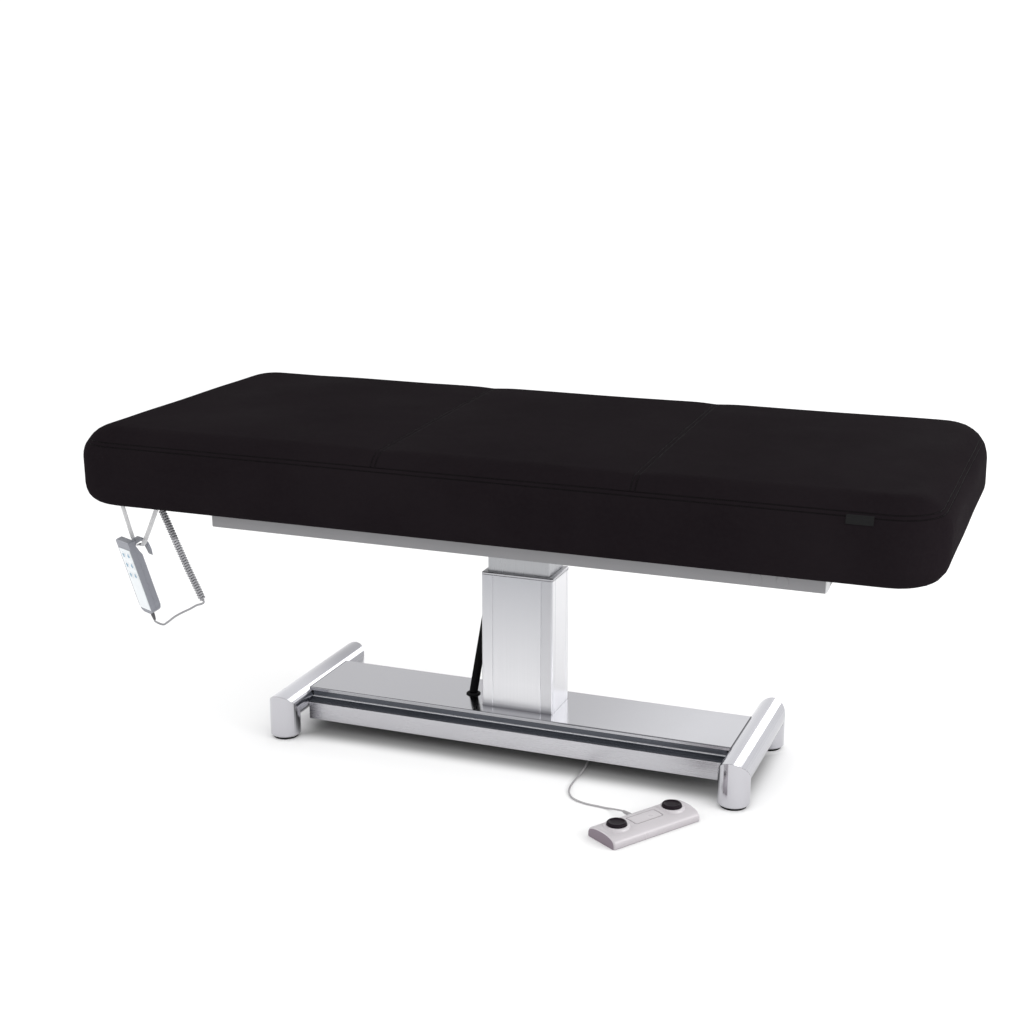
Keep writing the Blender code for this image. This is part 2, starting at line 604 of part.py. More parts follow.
def cushion(lift):
    """Box cushion with rounded corners and edges and a pocket below for the board."""
    bm = bmesh.new()
    rings = []
    steps = 5
    for k in range(steps + 1):
        angle = radians(90 * k / steps)
        rings.append((EDGE_BOTTOM * (1 - sin(angle)), CUSHION_BOTTOM + EDGE_BOTTOM * (1 - cos(angle))))
    for k in range(steps + 1):
        angle = radians(90 * k / steps)
        rings.append((EDGE_TOP * (1 - cos(angle)), CUSHION_TOP - EDGE_TOP * (1 - sin(angle))))
    made = []
    for inset, z in rings:
        outline = rounded_rectangle(CUSHION_LENGTH - 2 * inset, CUSHION_WIDTH - 2 * inset,
                                    CUSHION_CORNER - inset, 8)
        made.append([bm.verts.new((CUSHION_X + x, y, z)) for x, y in outline])
    pocket_top = CUSHION_BOTTOM + BOARD_THICK + GAP
    pocket = []
    for z in (pocket_top, CUSHION_BOTTOM):
        outline = rounded_rectangle(BOARD_LENGTH + 2 * GAP, BOARD_WIDTH + 2 * GAP, 0.040 + GAP, 8)
        pocket.append([bm.verts.new((CUSHION_X + x, y, z)) for x, y in outline])
    bridge_rings(bm, made)
    bm.faces.new(made[-1])
    bridge_rings(bm, [made[0], pocket[1], pocket[0]])
    bm.faces.new(pocket[0])
    finish("cushion", bm, VINYL, lift, smooth=True)

    # blank sewn label: a thin strip that follows the rounded upper edge of the front
    bm = bmesh.new()
    outline = []
    for offset, heights in ((GAP, (0.0, 0.25, 0.5, 0.75, 1.0)), (GAP + LABEL_THICK, (1.0, 0.75, 0.5, 0.25, 0.0))):
        for share in heights:
            z = LABEL_LOW + share * (LABEL_HIGH - LABEL_LOW)
            angle = asin((z - CUSHION_TOP + EDGE_TOP) / EDGE_TOP)
            reach = EDGE_TOP + offset
            outline.append((-CUSHION_WIDTH / 2 + EDGE_TOP - reach * cos(angle),
                            CUSHION_TOP - EDGE_TOP + reach * sin(angle)))
    add_prism_x(bm, outline, LABEL_LEFT, LABEL_RIGHT)
    finish("cushion_label", bm, LABEL, lift)


# ---------------------------------------------------------------- handset on its strap
def handset_matrix():
    return (Matrix.Translation(HANDSET_AT) @ Matrix.Rotation(radians(HANDSET_YAW), 4, "Z")
            @ Matrix.Rotation(radians(HANDSET_TILT), 4, "X"))


def handset(lift):
    frame = empty("handset_frame", HANDSET_AT, lift,
                  (radians(HANDSET_TILT), 0.0, radians(HANDSET_YAW)))
    bpy.context.view_layer.update()
    frame.matrix_parent_inverse = lift.matrix_world.inverted()
    half = HS_WIDTH / 2

    def section(y_front, y_back, chamfer_front):
        """Outline rings down the handset between two depths, with a shaped lower end."""
        rings = []
        for z, narrow in ((0.0, 0.0020), (-0.0020, 0.0), (-0.172, 0.0), (-0.1815, 0.0030),
                          (-0.1865, 0.0080), (-HS_LENGTH, 0.0140)):
            w = half - narrow
            front = y_front + (chamfer_front if z == 0.0 else 0.0)
            back = y_back(z)
            rings.append([(-w, front, z), (w, front, z), (w, back, z), (-w, back, z)])
        return rings

    bm = bmesh.new()
    add_loft(bm, section(0.0, lambda z: HS_SPLIT, 0.0015))
    front = finish("handset_front", bm, GREY_PLASTIC, frame, local=True)
    wells = bmesh.new()
    for z in KEY_ROWS:
        for x in KEY_COLUMNS:
            add_box(wells, (x - KEY_SIZE[0] / 2 - GAP, -0.004, z - KEY_SIZE[2] / 2 - GAP),
                    (x + KEY_SIZE[0] / 2 + GAP, 0.0032, z + KEY_SIZE[2] / 2 + GAP))
    tool = finish("key_well_cutter", wells, STEEL, frame, local=True)
    tool.hide_render = True
    tool.display_type = "WIRE"
    cut(front, tool)

    bm = bmesh.new()
    rings = []
    for z, back, narrow in ((0.0, HS_NECK - 0.001, 0.0030), (-0.0020, HS_NECK, 0.0), (-0.0150, HS_NECK, 0.0),
                            (-0.0290, 0.0205, 0.0), (-0.0400, HS_THICK, 0.0), (-0.1720, HS_THICK, 0.0),
                            (-0.1815, HS_THICK - 0.001, 0.0030), (-0.1865, HS_THICK - 0.003, 0.0080),
                            (-HS_LENGTH, HS_THICK - 0.006, 0.0140)):
        w = half - narrow
        rings.append([(-w, HS_SPLIT + GAP, z), (w, HS_SPLIT + GAP, z), (w, back, z), (-w, back, z)])
    add_loft(bm, rings)
    back_shell = finish("handset_back", bm, GREY_PLASTIC, frame, local=True)

    bm = bmesh.new()
    add_box(bm, (-half + 0.0040, -0.0008, -0.1780), (half - 0.0040, -GAP, -0.0200))
    membrane = finish("handset_membrane", bm, MEMBRANE, frame, local=True)
    cut(membrane, tool)

    for number, (z, x) in enumerate([(z, x) for z in KEY_ROWS for x in KEY_COLUMNS], 1):
        bm = bmesh.new()
        add_box(bm, [-s / 2 for s in KEY_SIZE], [s / 2 for s in KEY_SIZE], bevel=0.0005, segments=1)
        finish(f"handset_key_{number}", bm, MEMBRANE, frame, local=True, at=(x, -0.0004, z))

    # hook: a flat band that leaves the back near the top, arches over the strap and ends in a tail
    bm = bmesh.new()
    add_loft(bm, [[(x, y, z) for y, z in HOOK_OUTLINE] for x in (-HOOK_HALF, HOOK_HALF)])
    hook = finish("hook_union", bm, GREY_PLASTIC, frame, local=True)
    hook.hide_render = True
    hook.display_type = "WIRE"
    join(back_shell, hook)

    # collar and strain relief, one moulding in a turned outline below the handset
    profile = ((0.0050, -0.1893), (0.0050, -0.1950), (0.0042, -0.1952), (0.0046, -0.2010), (0.0030, -0.2130))
    bm = bmesh.new()
    add_loft(bm, [[(r * cos(2 * pi * k / 20), HS_CORD_Y + r * sin(2 * pi * k / 20), z) for k in range(20)]
                  for r, z in profile])
    finish("handset_cord_relief", bm, BLACK_PLASTIC, frame, local=True, smooth=True)


def strap(lift):
    """A flat web that hangs in a V from two anchors and carries the handset's hook."""
    top = RAIL_TOP
    crotch = handset_matrix() @ Vector(STRAP_LOW)
    low_x, low_z = crotch.x, crotch.z
    left, right = STRAP_TOPS_X
    centre = [(left, top), (left + 0.004, top - 0.012), (low_x - 0.0125, low_z + 0.003),
              (low_x, low_z), (low_x + 0.0125, low_z + 0.003), (right - 0.003, top - 0.012), (right, top)]
    half = STRAP_THICK / 2
    path = [Vector((x, 0, z)) for x, z in centre]
    bm = bmesh.new()
    rings = []
    for k, point in enumerate(path):
        before = (path[k] - path[k - 1]).normalized() if k else (path[1] - path[0]).normalized()
        after = (path[k + 1] - path[k]).normalized() if k < len(path) - 1 else before
        along = (before + after).normalized()
        side = Vector((along.z, 0, -along.x)) * half
        y0, y1 = crotch.y - STRAP_WIDTH / 2, crotch.y + STRAP_WIDTH / 2
        rings.append([(point.x + side.x, y0, point.z + side.z), (point.x + side.x, y1, point.z + side.z),
                      (point.x - side.x, y1, point.z - side.z), (point.x - side.x, y0, point.z - side.z)])
    add_loft(bm, rings)
    finish("handset_strap", bm, WEBBING, lift)


COIL_ROUTE = [(-0.7637, -0.3050, 0.5680), (-0.7505, -0.3050, 0.5400), (-0.7255, -0.3050, 0.4850),
              (-0.7000, -0.3050, 0.4300), (-0.6775, -0.3050, 0.3850), (-0.6655, -0.3050, 0.3595)]


def handset_cord(lift):
    bm = bmesh.new()
    x, y = COIL_ROUTE[0][0] - 0.004, COIL_ROUTE[0][1]
    add_box(bm, (x - 0.012, y - 0.012, 0.5745), (x + 0.012, y + 0.012, RAIL_TOP), bevel=0.002)
    finish("handset_cord_gland", bm, BLACK_PLASTIC, lift)
    tube("handset_coil", smooth_points(COIL_ROUTE, 0.012), COIL_RADIUS, CORD_GREY, 3, lift)
    exit_point = handset_matrix() @ Vector((0.0, HS_CORD_Y, -0.2133))
    exit_ahead = handset_matrix() @ Vector((0.0, HS_CORD_Y, -0.2190))
    end = COIL_ROUTE[-1]
    route = [exit_point, exit_ahead, (-0.7790, -0.3000, 0.2868), (-0.7660, -0.3005, 0.2940),
             (-0.7441, -0.3010, 0.3110), (-0.7228, -0.3020, 0.3236), (-0.7017, -0.3035, 0.3350),
             (-0.6834, -0.3045, 0.3460), (-0.6700, -0.3048, 0.3510), (end[0] + 0.0019, end[1], end[2] - 0.0042),
             (end[0] + 0.0006, end[1], end[2] - 0.0013)]
    tube("handset_tail", smooth_points(route, 0.006), TAIL_RADIUS, CORD_GREY, 2, lift)


# ---------------------------------------------------------------- foot control
def foot_profile(inset):
    """D-shaped (across, z) outline of the foot control: flat below, arched above."""
    half, height = FOOT_WIDTH / 2 - inset, FOOT_HEIGHT - inset
    points = [(half - 0.002, 0.0), (half, FOOT_SKIRT)]
    for k in range(1, 12):
        angle = radians(15 * k)
        points.append((half * cos(angle), FOOT_SKIRT + (height - FOOT_SKIRT) * sin(angle) ** ARCH_POWER))
    return points + [(-half, FOOT_SKIRT), (-half + 0.002, 0.0)]


def foot_control():
    turn = radians(FOOT_ANGLE)
    frame = empty("foot_control_frame", (*FOOT_AT, 0.0), rotation=(0.0, 0.0, turn))
    half = FOOT_LENGTH / 2
    bm = bmesh.new()
    rings = []
    for x, inset in ((-half, 0.003), (-half + 0.003, 0.0), (half - 0.006, 0.0), (half - 0.0015, 0.0025),
                     (half, 0.006)):
        rings.append([(x, y, z) for y, z in foot_profile(inset)])
    add_loft(bm, rings)
    body = finish("foot_control_body", bm, WHITE_PLASTIC, frame, local=True, smooth=True)
    # raised seats for the two buttons
    seats, wells = bmesh.new(), bmesh.new()
    for side in (-1, 1):
        add_rod(seats, (side * BUTTON_OFFSET, 0.0, 0.0250), BUTTON_RADIUS + 0.0042, 0.0110, sides=40)
        add_rod(wells, (side * BUTTON_OFFSET, 0.0, 0.0300), BUTTON_RADIUS + GAP, 0.0280, sides=40)
    add_box(wells, (-0.036, -0.0170, 0.0268), (0.036, 0.0170, 0.0400))
    ring_tool = cutter("seat_union", seats)
    ring_tool.parent = frame
    well_tool = cutter("well_cutter", wells)
    well_tool.parent = frame
    join(body, ring_tool)
    cut(body, well_tool)

    for name, side in (("foot_button_left", -1), ("foot_button_right", 1)):
        bm = bmesh.new()
        profile = [(BUTTON_RADIUS, -0.0170), (BUTTON_RADIUS, -0.0018), (BUTTON_RADIUS - 0.0012, -0.0006),
                   (BUTTON_RADIUS - 0.0050, 0.0), (BUTTON_RADIUS - 0.0065, -0.0003), (0.0080, -0.0012)]
        add_loft(bm, [[(r * cos(2 * pi * k / 36), r * sin(2 * pi * k / 36), z) for k in range(36)]
                      for r, z in profile])
        finish(name, bm, BLACK_PLASTIC, frame, local=True, smooth=True, at=(side * BUTTON_OFFSET, 0.0, BUTTON_TOP))

    bm = bmesh.new()
    back = FOOT_WIDTH / 2
    add_loft(bm, [[(r * cos(2 * pi * k / 20), back + GAP + y, 0.0125 + r * sin(2 * pi * k / 20))
                   for k in range(20)] for y, r in ((0.0, 0.0045), (0.006, 0.0045), (0.024, 0.0028))])
    finish("foot_control_gland", bm, WHITE_PLASTIC, frame, local=True, smooth=True)

    place = Matrix.Translation((*FOOT_AT, 0.0)) @ Matrix.Rotation(turn, 4, "Z")
    start = place @ Vector((0.0, back + 0.0246, 0.0125))
    ahead = place @ Vector((0.0, back + 0.0330, 0.0110))
    floor = FOOT_CORD_RADIUS + 0.0002
    route = [start, ahead, (0.3080, -0.2915, 0.0050), (0.2910, -0.2862, floor), (0.2700, -0.2840, floor),
             (0.2500, -0.2822, floor), (0.2280, -0.2760, floor), (0.2080, -0.2640, floor),
             (0.1935, -0.2430, floor), (0.1860, -0.2170, floor), (0.1835, -0.1900, floor),
             (0.1835, -0.1600, floor), (0.1835, -0.1300, floor), (0.1815, -0.0980, floor),
             (0.1785, -0.0680, 0.0040), (0.1755, -0.0420, 0.0130), (0.1738, -0.0200, 0.0270),
             (0.1732, -0.0030, 0.0365), (0.1730, 0.0117, 0.0390)]
    tube("foot_cord", smooth_points(route, 0.0075), FOOT_CORD_RADIUS, CORD_WHITE, 2)


# ---------------------------------------------------------------- assembly
def build():
    mid = empty("mid_stage_frame", (0.0, 0.0, MID_BOTTOM))
    lift = empty("lift_frame", (0.0, 0.0, INNER_BOTTOM))
    bpy.context.view_layer.update()
    mitred_bar("foot_bar_left", -BAR_X)
    mitred_bar("foot_bar_right", BAR_X)
    for x, x_name in ((-BAR_X, "left"), (BAR_X, "right")):
        for side, y_name in ((-1, "front"), (1, "rear")):
            end_post(f"foot_post_{x_name}_{y_name}", x, side)
            foot_pad(f"foot_pad_{x_name}_{y_name}", x, side)
    base(bar_cutter())
    grommet()
    column(mid, lift)
    deck(lift)
    cushion(lift)
    tube("cable_sleeve", smooth_points(SLEEVE_ROUTE, 0.030), SLEEVE_RADIUS, RUBBER, 4, lift)
    handset(lift)
    strap(lift)
    handset_cord(lift)
    foot_control()
    for made in bpy.data.objects:
        if made.parent is None:
            made.location = made.location + FRAME_SHIFT
    bpy.context.view_layer.update()


build()
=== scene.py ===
"""Looks of the electric-lift treatment couch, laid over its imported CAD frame.

Metres, +Z up. The routes below are in the column's frame, as in the CAD source; SHIFT takes them
to the row frame.
"""

import json
from math import asin, ceil, cos, exp, pi, radians, sin

import bmesh
import bpy
import numpy as np
from mathutils import Matrix, Vector


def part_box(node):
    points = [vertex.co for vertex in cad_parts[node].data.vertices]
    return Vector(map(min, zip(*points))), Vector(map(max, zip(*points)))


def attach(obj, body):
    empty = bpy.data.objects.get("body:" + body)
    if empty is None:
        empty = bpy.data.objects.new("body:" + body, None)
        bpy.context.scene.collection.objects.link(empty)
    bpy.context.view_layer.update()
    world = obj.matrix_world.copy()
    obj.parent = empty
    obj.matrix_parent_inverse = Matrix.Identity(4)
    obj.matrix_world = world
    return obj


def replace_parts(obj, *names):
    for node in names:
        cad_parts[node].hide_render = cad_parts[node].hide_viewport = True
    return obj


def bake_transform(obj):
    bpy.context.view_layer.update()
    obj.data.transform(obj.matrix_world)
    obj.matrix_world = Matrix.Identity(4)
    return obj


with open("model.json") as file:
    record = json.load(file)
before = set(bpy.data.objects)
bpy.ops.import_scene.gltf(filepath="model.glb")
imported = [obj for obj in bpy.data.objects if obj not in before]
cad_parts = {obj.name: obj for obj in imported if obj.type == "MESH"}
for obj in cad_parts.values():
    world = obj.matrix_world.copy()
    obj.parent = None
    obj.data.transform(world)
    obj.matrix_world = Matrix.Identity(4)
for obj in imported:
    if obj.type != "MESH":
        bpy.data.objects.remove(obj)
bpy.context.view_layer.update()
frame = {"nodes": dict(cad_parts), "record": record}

SHIFT = Vector((-0.0230, 0.01806, 0.0))
NODES = frame["nodes"]


# ================================================================ geometry helpers
def new_object(name, mesh, body, materials=()):
    for mat in materials:
        mesh.materials.append(mat)
    made = bpy.data.objects.new(name, mesh)
    bpy.context.scene.collection.objects.link(made)
    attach(made, body)
    return made


def finish_mesh(name, bm, smooth_angle):
    bmesh.ops.recalc_face_normals(bm, faces=bm.faces)
    mesh = bpy.data.meshes.new(name)
    bm.to_mesh(mesh)
    bm.free()
    mesh.shade_smooth()
    mesh.set_sharp_from_angle(angle=radians(smooth_angle))
    return mesh


def solid(name, bm, body, material, smooth_angle=35.0):
    return new_object(name, finish_mesh(name, bm, smooth_angle), body, (material,))


def bridge(bm, rings, closed=False):
    pairs = list(zip(rings, rings[1:]))
    if closed:
        pairs.append((rings[-1], rings[0]))
    for low, high in pairs:
        for k in range(len(low)):
            n = (k + 1) % len(low)
            bm.faces.new((low[k], low[n], high[n], high[k]))


def loft(bm, rings):
    """A closed solid through rings of points, capped at both ends."""
    made = [[bm.verts.new(point) for point in ring] for ring in rings]
    bridge(bm, made)
    bm.faces.new(made[0])
    bm.faces.new(made[-1])


def turned(profile, sides, matrix):
    """Rings of points about the matrix's Z axis, one for each (radius, z) pair of the profile."""
    turns = [2 * pi * k / sides for k in range(sides)]
    return [[matrix @ Vector((r * cos(turn), r * sin(turn), z)) for turn in turns] for r, z in profile]


def rounded_outline(width, depth, radius, steps=5):
    points = []
    for cx, cy, start in ((1, 1, 0), (-1, 1, 90), (-1, -1, 180), (1, -1, 270)):
        for k in range(steps + 1):
            angle = radians(start + 90 * k / steps)
            points.append((cx * (width / 2 - radius) + radius * cos(angle),
                           cy * (depth / 2 - radius) + radius * sin(angle)))
    return points


def smooth_points(route, spacing):
    """Points at an even spacing on a Catmull-Rom curve through the route."""
    knots = [Vector(point) for point in route]
    knots = [knots[0] * 2 - knots[1]] + knots + [knots[-1] * 2 - knots[-2]]
    dense = []
    for a, b, c, d in zip(knots, knots[1:], knots[2:], knots[3:]):
        for k in range(24):
            t = k / 24
            dense.append(0.5 * (2 * b + (c - a) * t + (2 * a - 5 * b + 4 * c - d) * t * t
                                + (3 * b - a - 3 * c + d) * t ** 3))
    dense.append(knots[-2])
    lengths = [0.0]
    for here, there in zip(dense, dense[1:]):
        lengths.append(lengths[-1] + (there - here).length)
    count = max(2, round(lengths[-1] / spacing))
    points, at = [], 0
    for k in range(count + 1):
        goal = lengths[-1] * k / count
        while at < len(lengths) - 2 and lengths[at + 1] < goal:
            at += 1
        span = lengths[at + 1] - lengths[at]
        points.append(dense[at].lerp(dense[at + 1], (goal - lengths[at]) / span if span else 0.0))
    return points


def route_length(points):
    return sum((b - a).length for a, b in zip(points, points[1:]))


def world_route(route):
    return [Vector(point) + SHIFT for point in route]


def wire(name, points, radius, body, mat, resolution=3):
    """A round wire through the points, as a curve."""
    curve = bpy.data.curves.new(name, "CURVE")
    curve.dimensions = "3D"
    curve.bevel_depth = radius
    curve.bevel_resolution = resolution
    curve.use_fill_caps = True
    spline = curve.splines.new("POLY")
    spline.points.add(len(points) - 1)
    for target, point in zip(spline.points, points):
        target.co = (*point, 1.0)
    return new_object(name, curve, body, (mat,))


def frames_along(points):
    """A steady (point, side, up) frame at each point of a path."""
    side = None
    for k, point in enumerate(points):
        ahead = points[min(k + 1, len(points) - 1)] - points[max(k - 1, 0)]
        ahead.normalize()
        if side is None:
            side = ahead.cross(Vector((0, 1, 0)))
            if side.length < 0.1:
                side = ahead.cross(Vector((1, 0, 0)))
        side = (side - ahead * side.dot(ahead)).normalized()
        yield point, side, ahead.cross(side)


def tube_mesh(bm, points, r, sides):
    loft(bm, [[point + side * (r * cos(2 * pi * j / sides)) + up * (r * sin(2 * pi * j / sides))
               for j in range(sides)] for point, side, up in frames_along(points)])


# ================================================================ material helpers
class Look:
    """A Principled material whose colour, roughness and bump come from procedural nodes."""

    def __init__(self, name, colour, roughness, metallic=0.0, specular=0.5):
        self.mat = bpy.data.materials.new(name)
        self.mat.use_nodes = True
        self.tree = self.mat.node_tree
        self.shader = self.tree.nodes["Principled BSDF"]
        self.shader.inputs["Base Color"].default_value = (*colour, 1.0)
        self.shader.inputs["Roughness"].default_value = roughness
        self.shader.inputs["Metallic"].default_value = metallic
        self.shader.inputs["Specular IOR Level"].default_value = specular
        self.coords = self.node("ShaderNodeTexCoord").outputs["Object"]

    def feed(self, socket, value):
        """Links a node's output to the socket, or sets the socket to a plain value."""
        if isinstance(value, bpy.types.NodeSocket):
            self.tree.links.new(value, socket)
        else:
            socket.default_value = value

    def node(self, kind, **values):
        """A node whose inputs, or else settings, take the values of the same names."""
        made = self.tree.nodes.new(kind)
        for key, value in values.items():
            if key.replace("_", " ") in made.inputs:
                self.feed(made.inputs[key.replace("_", " ")], value)
            else:
                setattr(made, key, value)
        return made

    def stretched(self, scale):
        return self.node("ShaderNodeMapping", Vector=self.coords, Scale=scale).outputs["Vector"]

    def noise(self, scale, detail=3.0, roughness=0.5, vector=None):
        return self.node("ShaderNodeTexNoise", Vector=vector or self.coords, Scale=scale, Detail=detail,
                         Roughness=roughness).outputs["Fac"]

    def drawn(self, stretch, detail=4.0):
        """Lines of a drawn surface: stretch holds small numbers along the lines, large ones across them."""
        return self.noise(1.0, detail, 0.6, self.stretched(stretch))

    def wave(self, scale, distortion=0.0, direction="Z", vector=None):
        return self.node("ShaderNodeTexWave", Vector=vector or self.coords, Scale=scale, Distortion=distortion,
                         bands_direction=direction).outputs["Fac"]

    def axis(self, index, vector=None):
        return self.node("ShaderNodeSeparateXYZ", Vector=vector or self.coords).outputs[index]

    def attribute(self, name):
        return self.node("ShaderNodeAttribute", attribute_name=name).outputs["Fac"]

    def remap(self, value, low, high, out_low=0.0, out_high=1.0, easing="LINEAR"):
        return self.node("ShaderNodeMapRange", interpolation_type=easing, Value=value, From_Min=low,
                         From_Max=high, To_Min=out_low, To_Max=out_high).outputs["Result"]

    def swing(self, noise, low=0.0, high=1.0):
        """A noise, which mostly keeps to its middle values, spread out from low to high."""
        return self.remap(noise, 0.3, 0.7, low, high)

    def stripe(self, value, start, full, fading, end):
        """One where the value is between full and fading, zero before start and past end."""
        return self.maths("MULTIPLY", self.remap(value, start, full), self.remap(value, fading, end, 1.0, 0.0))

    def maths(self, operation, a, b=0.0):
        made = self.node("ShaderNodeMath", operation=operation)
        for socket, value in zip(made.inputs, (a, b)):
            self.feed(socket, value)
        return made.outputs[0]

    def mix(self, factor, a, b):
        made = self.node("ShaderNodeMix", data_type="RGBA", Factor=factor)
        for socket, value in zip((s for s in made.inputs if s.type == "RGBA"), (a, b)):
            self.feed(socket, value if isinstance(value, bpy.types.NodeSocket) else (*value, 1.0))
        return next(s for s in made.outputs if s.type == "RGBA")

    def colour(self, socket):
        self.feed(self.shader.inputs["Base Color"], socket)

    def rough(self, socket):
        self.feed(self.shader.inputs["Roughness"], socket)

    def bump(self, height, strength, distance):
        """Adds a layer of bump on top of those already there."""
        made = self.node("ShaderNodeBump", Height=height, Strength=strength, Distance=distance)
        if self.shader.inputs["Normal"].is_linked:
            self.feed(made.inputs["Normal"], self.shader.inputs["Normal"].links[0].from_socket)
        self.feed(self.shader.inputs["Normal"], made.outputs["Normal"])


def scaled(colour, share):
    return tuple(min(1.0, c * share) for c in colour)


def brushed(name, colour, roughness, stretch):
    """Metal with fine drawn lines and faint smudges."""
    look = Look(name, colour, roughness, metallic=1.0)
    lines = look.drawn(stretch)
    look.colour(look.mix(look.swing(lines), scaled(colour, 0.97), scaled(colour, 1.02)))
    wear = look.maths("ADD", look.swing(lines, -0.05, 0.05), look.swing(look.noise(7.0), -0.03, 0.03))
    look.rough(look.maths("ADD", wear, roughness))
    look.bump(lines, 0.08, 0.00002)
    return look.mat


def moulded(name, colour, roughness, grain=1800.0, specular=0.5, tint=0.06, strength=0.12):
    """Moulded plastic: a fine spark-eroded grain, slight shifts of tone and handling marks in the gloss."""
    look = Look(name, colour, roughness, specular=specular)
    look.colour(look.mix(look.swing(look.noise(9.0)), scaled(colour, 1 - tint), scaled(colour, 1 + tint)))
    look.rough(look.swing(look.noise(38.0, 4.0), roughness - 0.06, roughness + 0.06))
    look.bump(look.noise(grain, 2.0), strength, 0.00012)
    return look.mat


def polished_look(name, tone, shade_fade=None, rough=0.12):
    """Polished steel. An optional (axis, from, to, share) paints shade: the tone falls to that share between two
    places.
    """
    look = Look(name, tone, rough, metallic=1.0)
    lines = look.drawn((6.0, 900.0, 900.0), 3.0)
    clouds = look.noise(4.0)
    steel = look.mix(look.swing(clouds), scaled(tone, 0.965), scaled(tone, 1.035))
    if shade_fade:
        axis, start, end, share = shade_fade
        shade_mask = look.remap(look.axis(axis), start, end, easing="SMOOTHSTEP")
        steel = look.mix(shade_mask, steel, scaled(tone, share))
    look.colour(steel)
    wear = look.swing(lines, rough - 0.02, rough + 0.03)
    look.rough(look.maths("ADD", wear, look.swing(clouds, -0.02, 0.02)))
    look.bump(lines, 0.06, 0.00001)
    return look


def polished(name, tone, shade_fade=None, rough=0.12):
    return polished_look(name, tone, shade_fade, rough).mat


# ================================================================ materials
def leatherette():
    """Black upholstery vinyl: pebbled grain, soft tonal clouds, and painted shade along the seam attribute in
    the stitch grooves.
    """
    look = Look("leatherette", (0.0100, 0.0078, 0.0092), 0.60, specular=0.001)
    clouds = look.remap(look.noise(2.6, 5.0, 0.62), 0.32, 0.68)
    flecks = look.remap(look.noise(140.0), 0.35, 0.65, 0.0, 0.25)
    skin = look.mix(clouds, (0.0082, 0.0062, 0.0076), (0.0114, 0.0090, 0.0106))
    skin = look.mix(flecks, skin, (0.0130, 0.0106, 0.0120))
    # painted shade: the seam attribute darkens the cover in its stitch grooves
    look.colour(look.mix(look.attribute("seam"), skin, (0.0010, 0.0008, 0.0009)))
    look.rough(look.swing(look.noise(5.0), 0.52, 0.66))
    pebbles = look.node("ShaderNodeTexVoronoi", Vector=look.coords, Scale=900.0).outputs["Distance"]
    look.bump(pebbles, 0.30, 0.0002)
    look.bump(look.noise(2400.0, 2.0), 0.15, 0.00008)
    look.bump(look.noise(16.0), 0.15, 0.0010)
    return look.mat


def plate():
    """Polished cover, with painted shade towards its left end and dark painted shadow lines where it meets the
    two bars and along part of its front lip.
    """
    look = polished_look("plate_steel", (0.535, 0.535, 0.565), (0, 0.42, 0.05, 0.70), 0.15)
    steel = look.shader.inputs["Base Color"].links[0].from_socket
    from_middle = look.maths("ABSOLUTE", look.maths("SUBTRACT", look.axis(0), SHIFT.x))
    # painted shadow lines: at the joints with the two bars, and along part of the front lip
    bar_joint_shadow = look.remap(from_middle, 0.5115, 0.5125)
    lip = look.maths("MULTIPLY", look.stripe(look.axis(2), 0.0958, 0.0962, 0.0970, 0.0974),
                     look.remap(look.axis(0), 0.06, 0.11, 0.0, 0.9))
    look.colour(look.mix(look.maths("MAXIMUM", bar_joint_shadow, lip), steel, (0.04, 0.04, 0.05)))
    return look.mat


def foot_plastic():
    """Off-white moulding with painted shade: dark mauve in the groove round its panel, and darker towards its
    lower edge.
    """
    look = Look("foot_control_plastic", (0.50, 0.475, 0.495), 0.30)
    skin = look.mix(look.swing(look.noise(9.0)), (0.485, 0.462, 0.480), (0.515, 0.490, 0.510))
    # painted shade towards the lower edge, then dark painted shade in the panel's groove
    skin = look.mix(look.remap(look.axis(2), 0.002, 0.021, 0.55, 0.0), skin, (0.255, 0.232, 0.250))
    look.colour(look.mix(look.attribute("groove"), skin, (0.10, 0.085, 0.097)))
    look.rough(look.swing(look.noise(38.0, 4.0), 0.27, 0.34))
    look.bump(look.noise(1800.0, 2.0), 0.02, 0.0001)
    return look.mat


def trim():
    """Slate-dark trim with a painted highlight along its ridge."""
    look = Look("dark_trim", (0.07, 0.075, 0.09), 0.25, metallic=0.6)
    streaks = look.drawn((5.0, 60.0, 60.0), 3.0)
    slate = look.mix(look.swing(streaks), (0.060, 0.065, 0.078), (0.078, 0.084, 0.100))
    # painted highlight: a bright stripe along the top of the ridge
    ridge = look.stripe(look.axis(2), 0.0771, 0.0775, 0.0784, 0.0790)
    look.colour(look.mix(ridge, slate, (0.72, 0.72, 0.75)))
    look.rough(look.swing(streaks, 0.20, 0.30))
    return look.mat


def column_skin():
    """Satin anodised tube. Its two broad faces carry painted shade: darker upwards, along their right edge and
    at the very foot.
    """
    look = Look("column_skin", (0.62, 0.625, 0.64), 0.30, metallic=1.0)
    lines = look.drawn((500.0, 500.0, 3.0))
    broad = look.maths("ABSOLUTE", look.axis(1, look.node("ShaderNodeNewGeometry").outputs["Normal"]))
    skin = look.mix(look.swing(lines), (0.705, 0.705, 0.725), (0.735, 0.735, 0.755))
    # painted shade on the broad faces: upwards, along the right edge and at the foot
    for place, tone in ((look.remap(look.axis(2), 0.16, 0.415), (0.435, 0.440, 0.465)),
                        (look.remap(look.axis(0), 0.0345, 0.0370, 0.0, 0.35), (0.36, 0.36, 0.38)),
                        (look.remap(look.axis(2), 0.0990, 0.1080, 0.75, 0.0), (0.20, 0.20, 0.22))):
        skin = look.mix(look.maths("MULTIPLY", broad, place), skin, tone)
    look.colour(skin)
    look.rough(look.maths("ADD", look.swing(lines, -0.02, 0.02), 0.30))
    look.bump(lines, 0.06, 0.00001)
    return look.mat


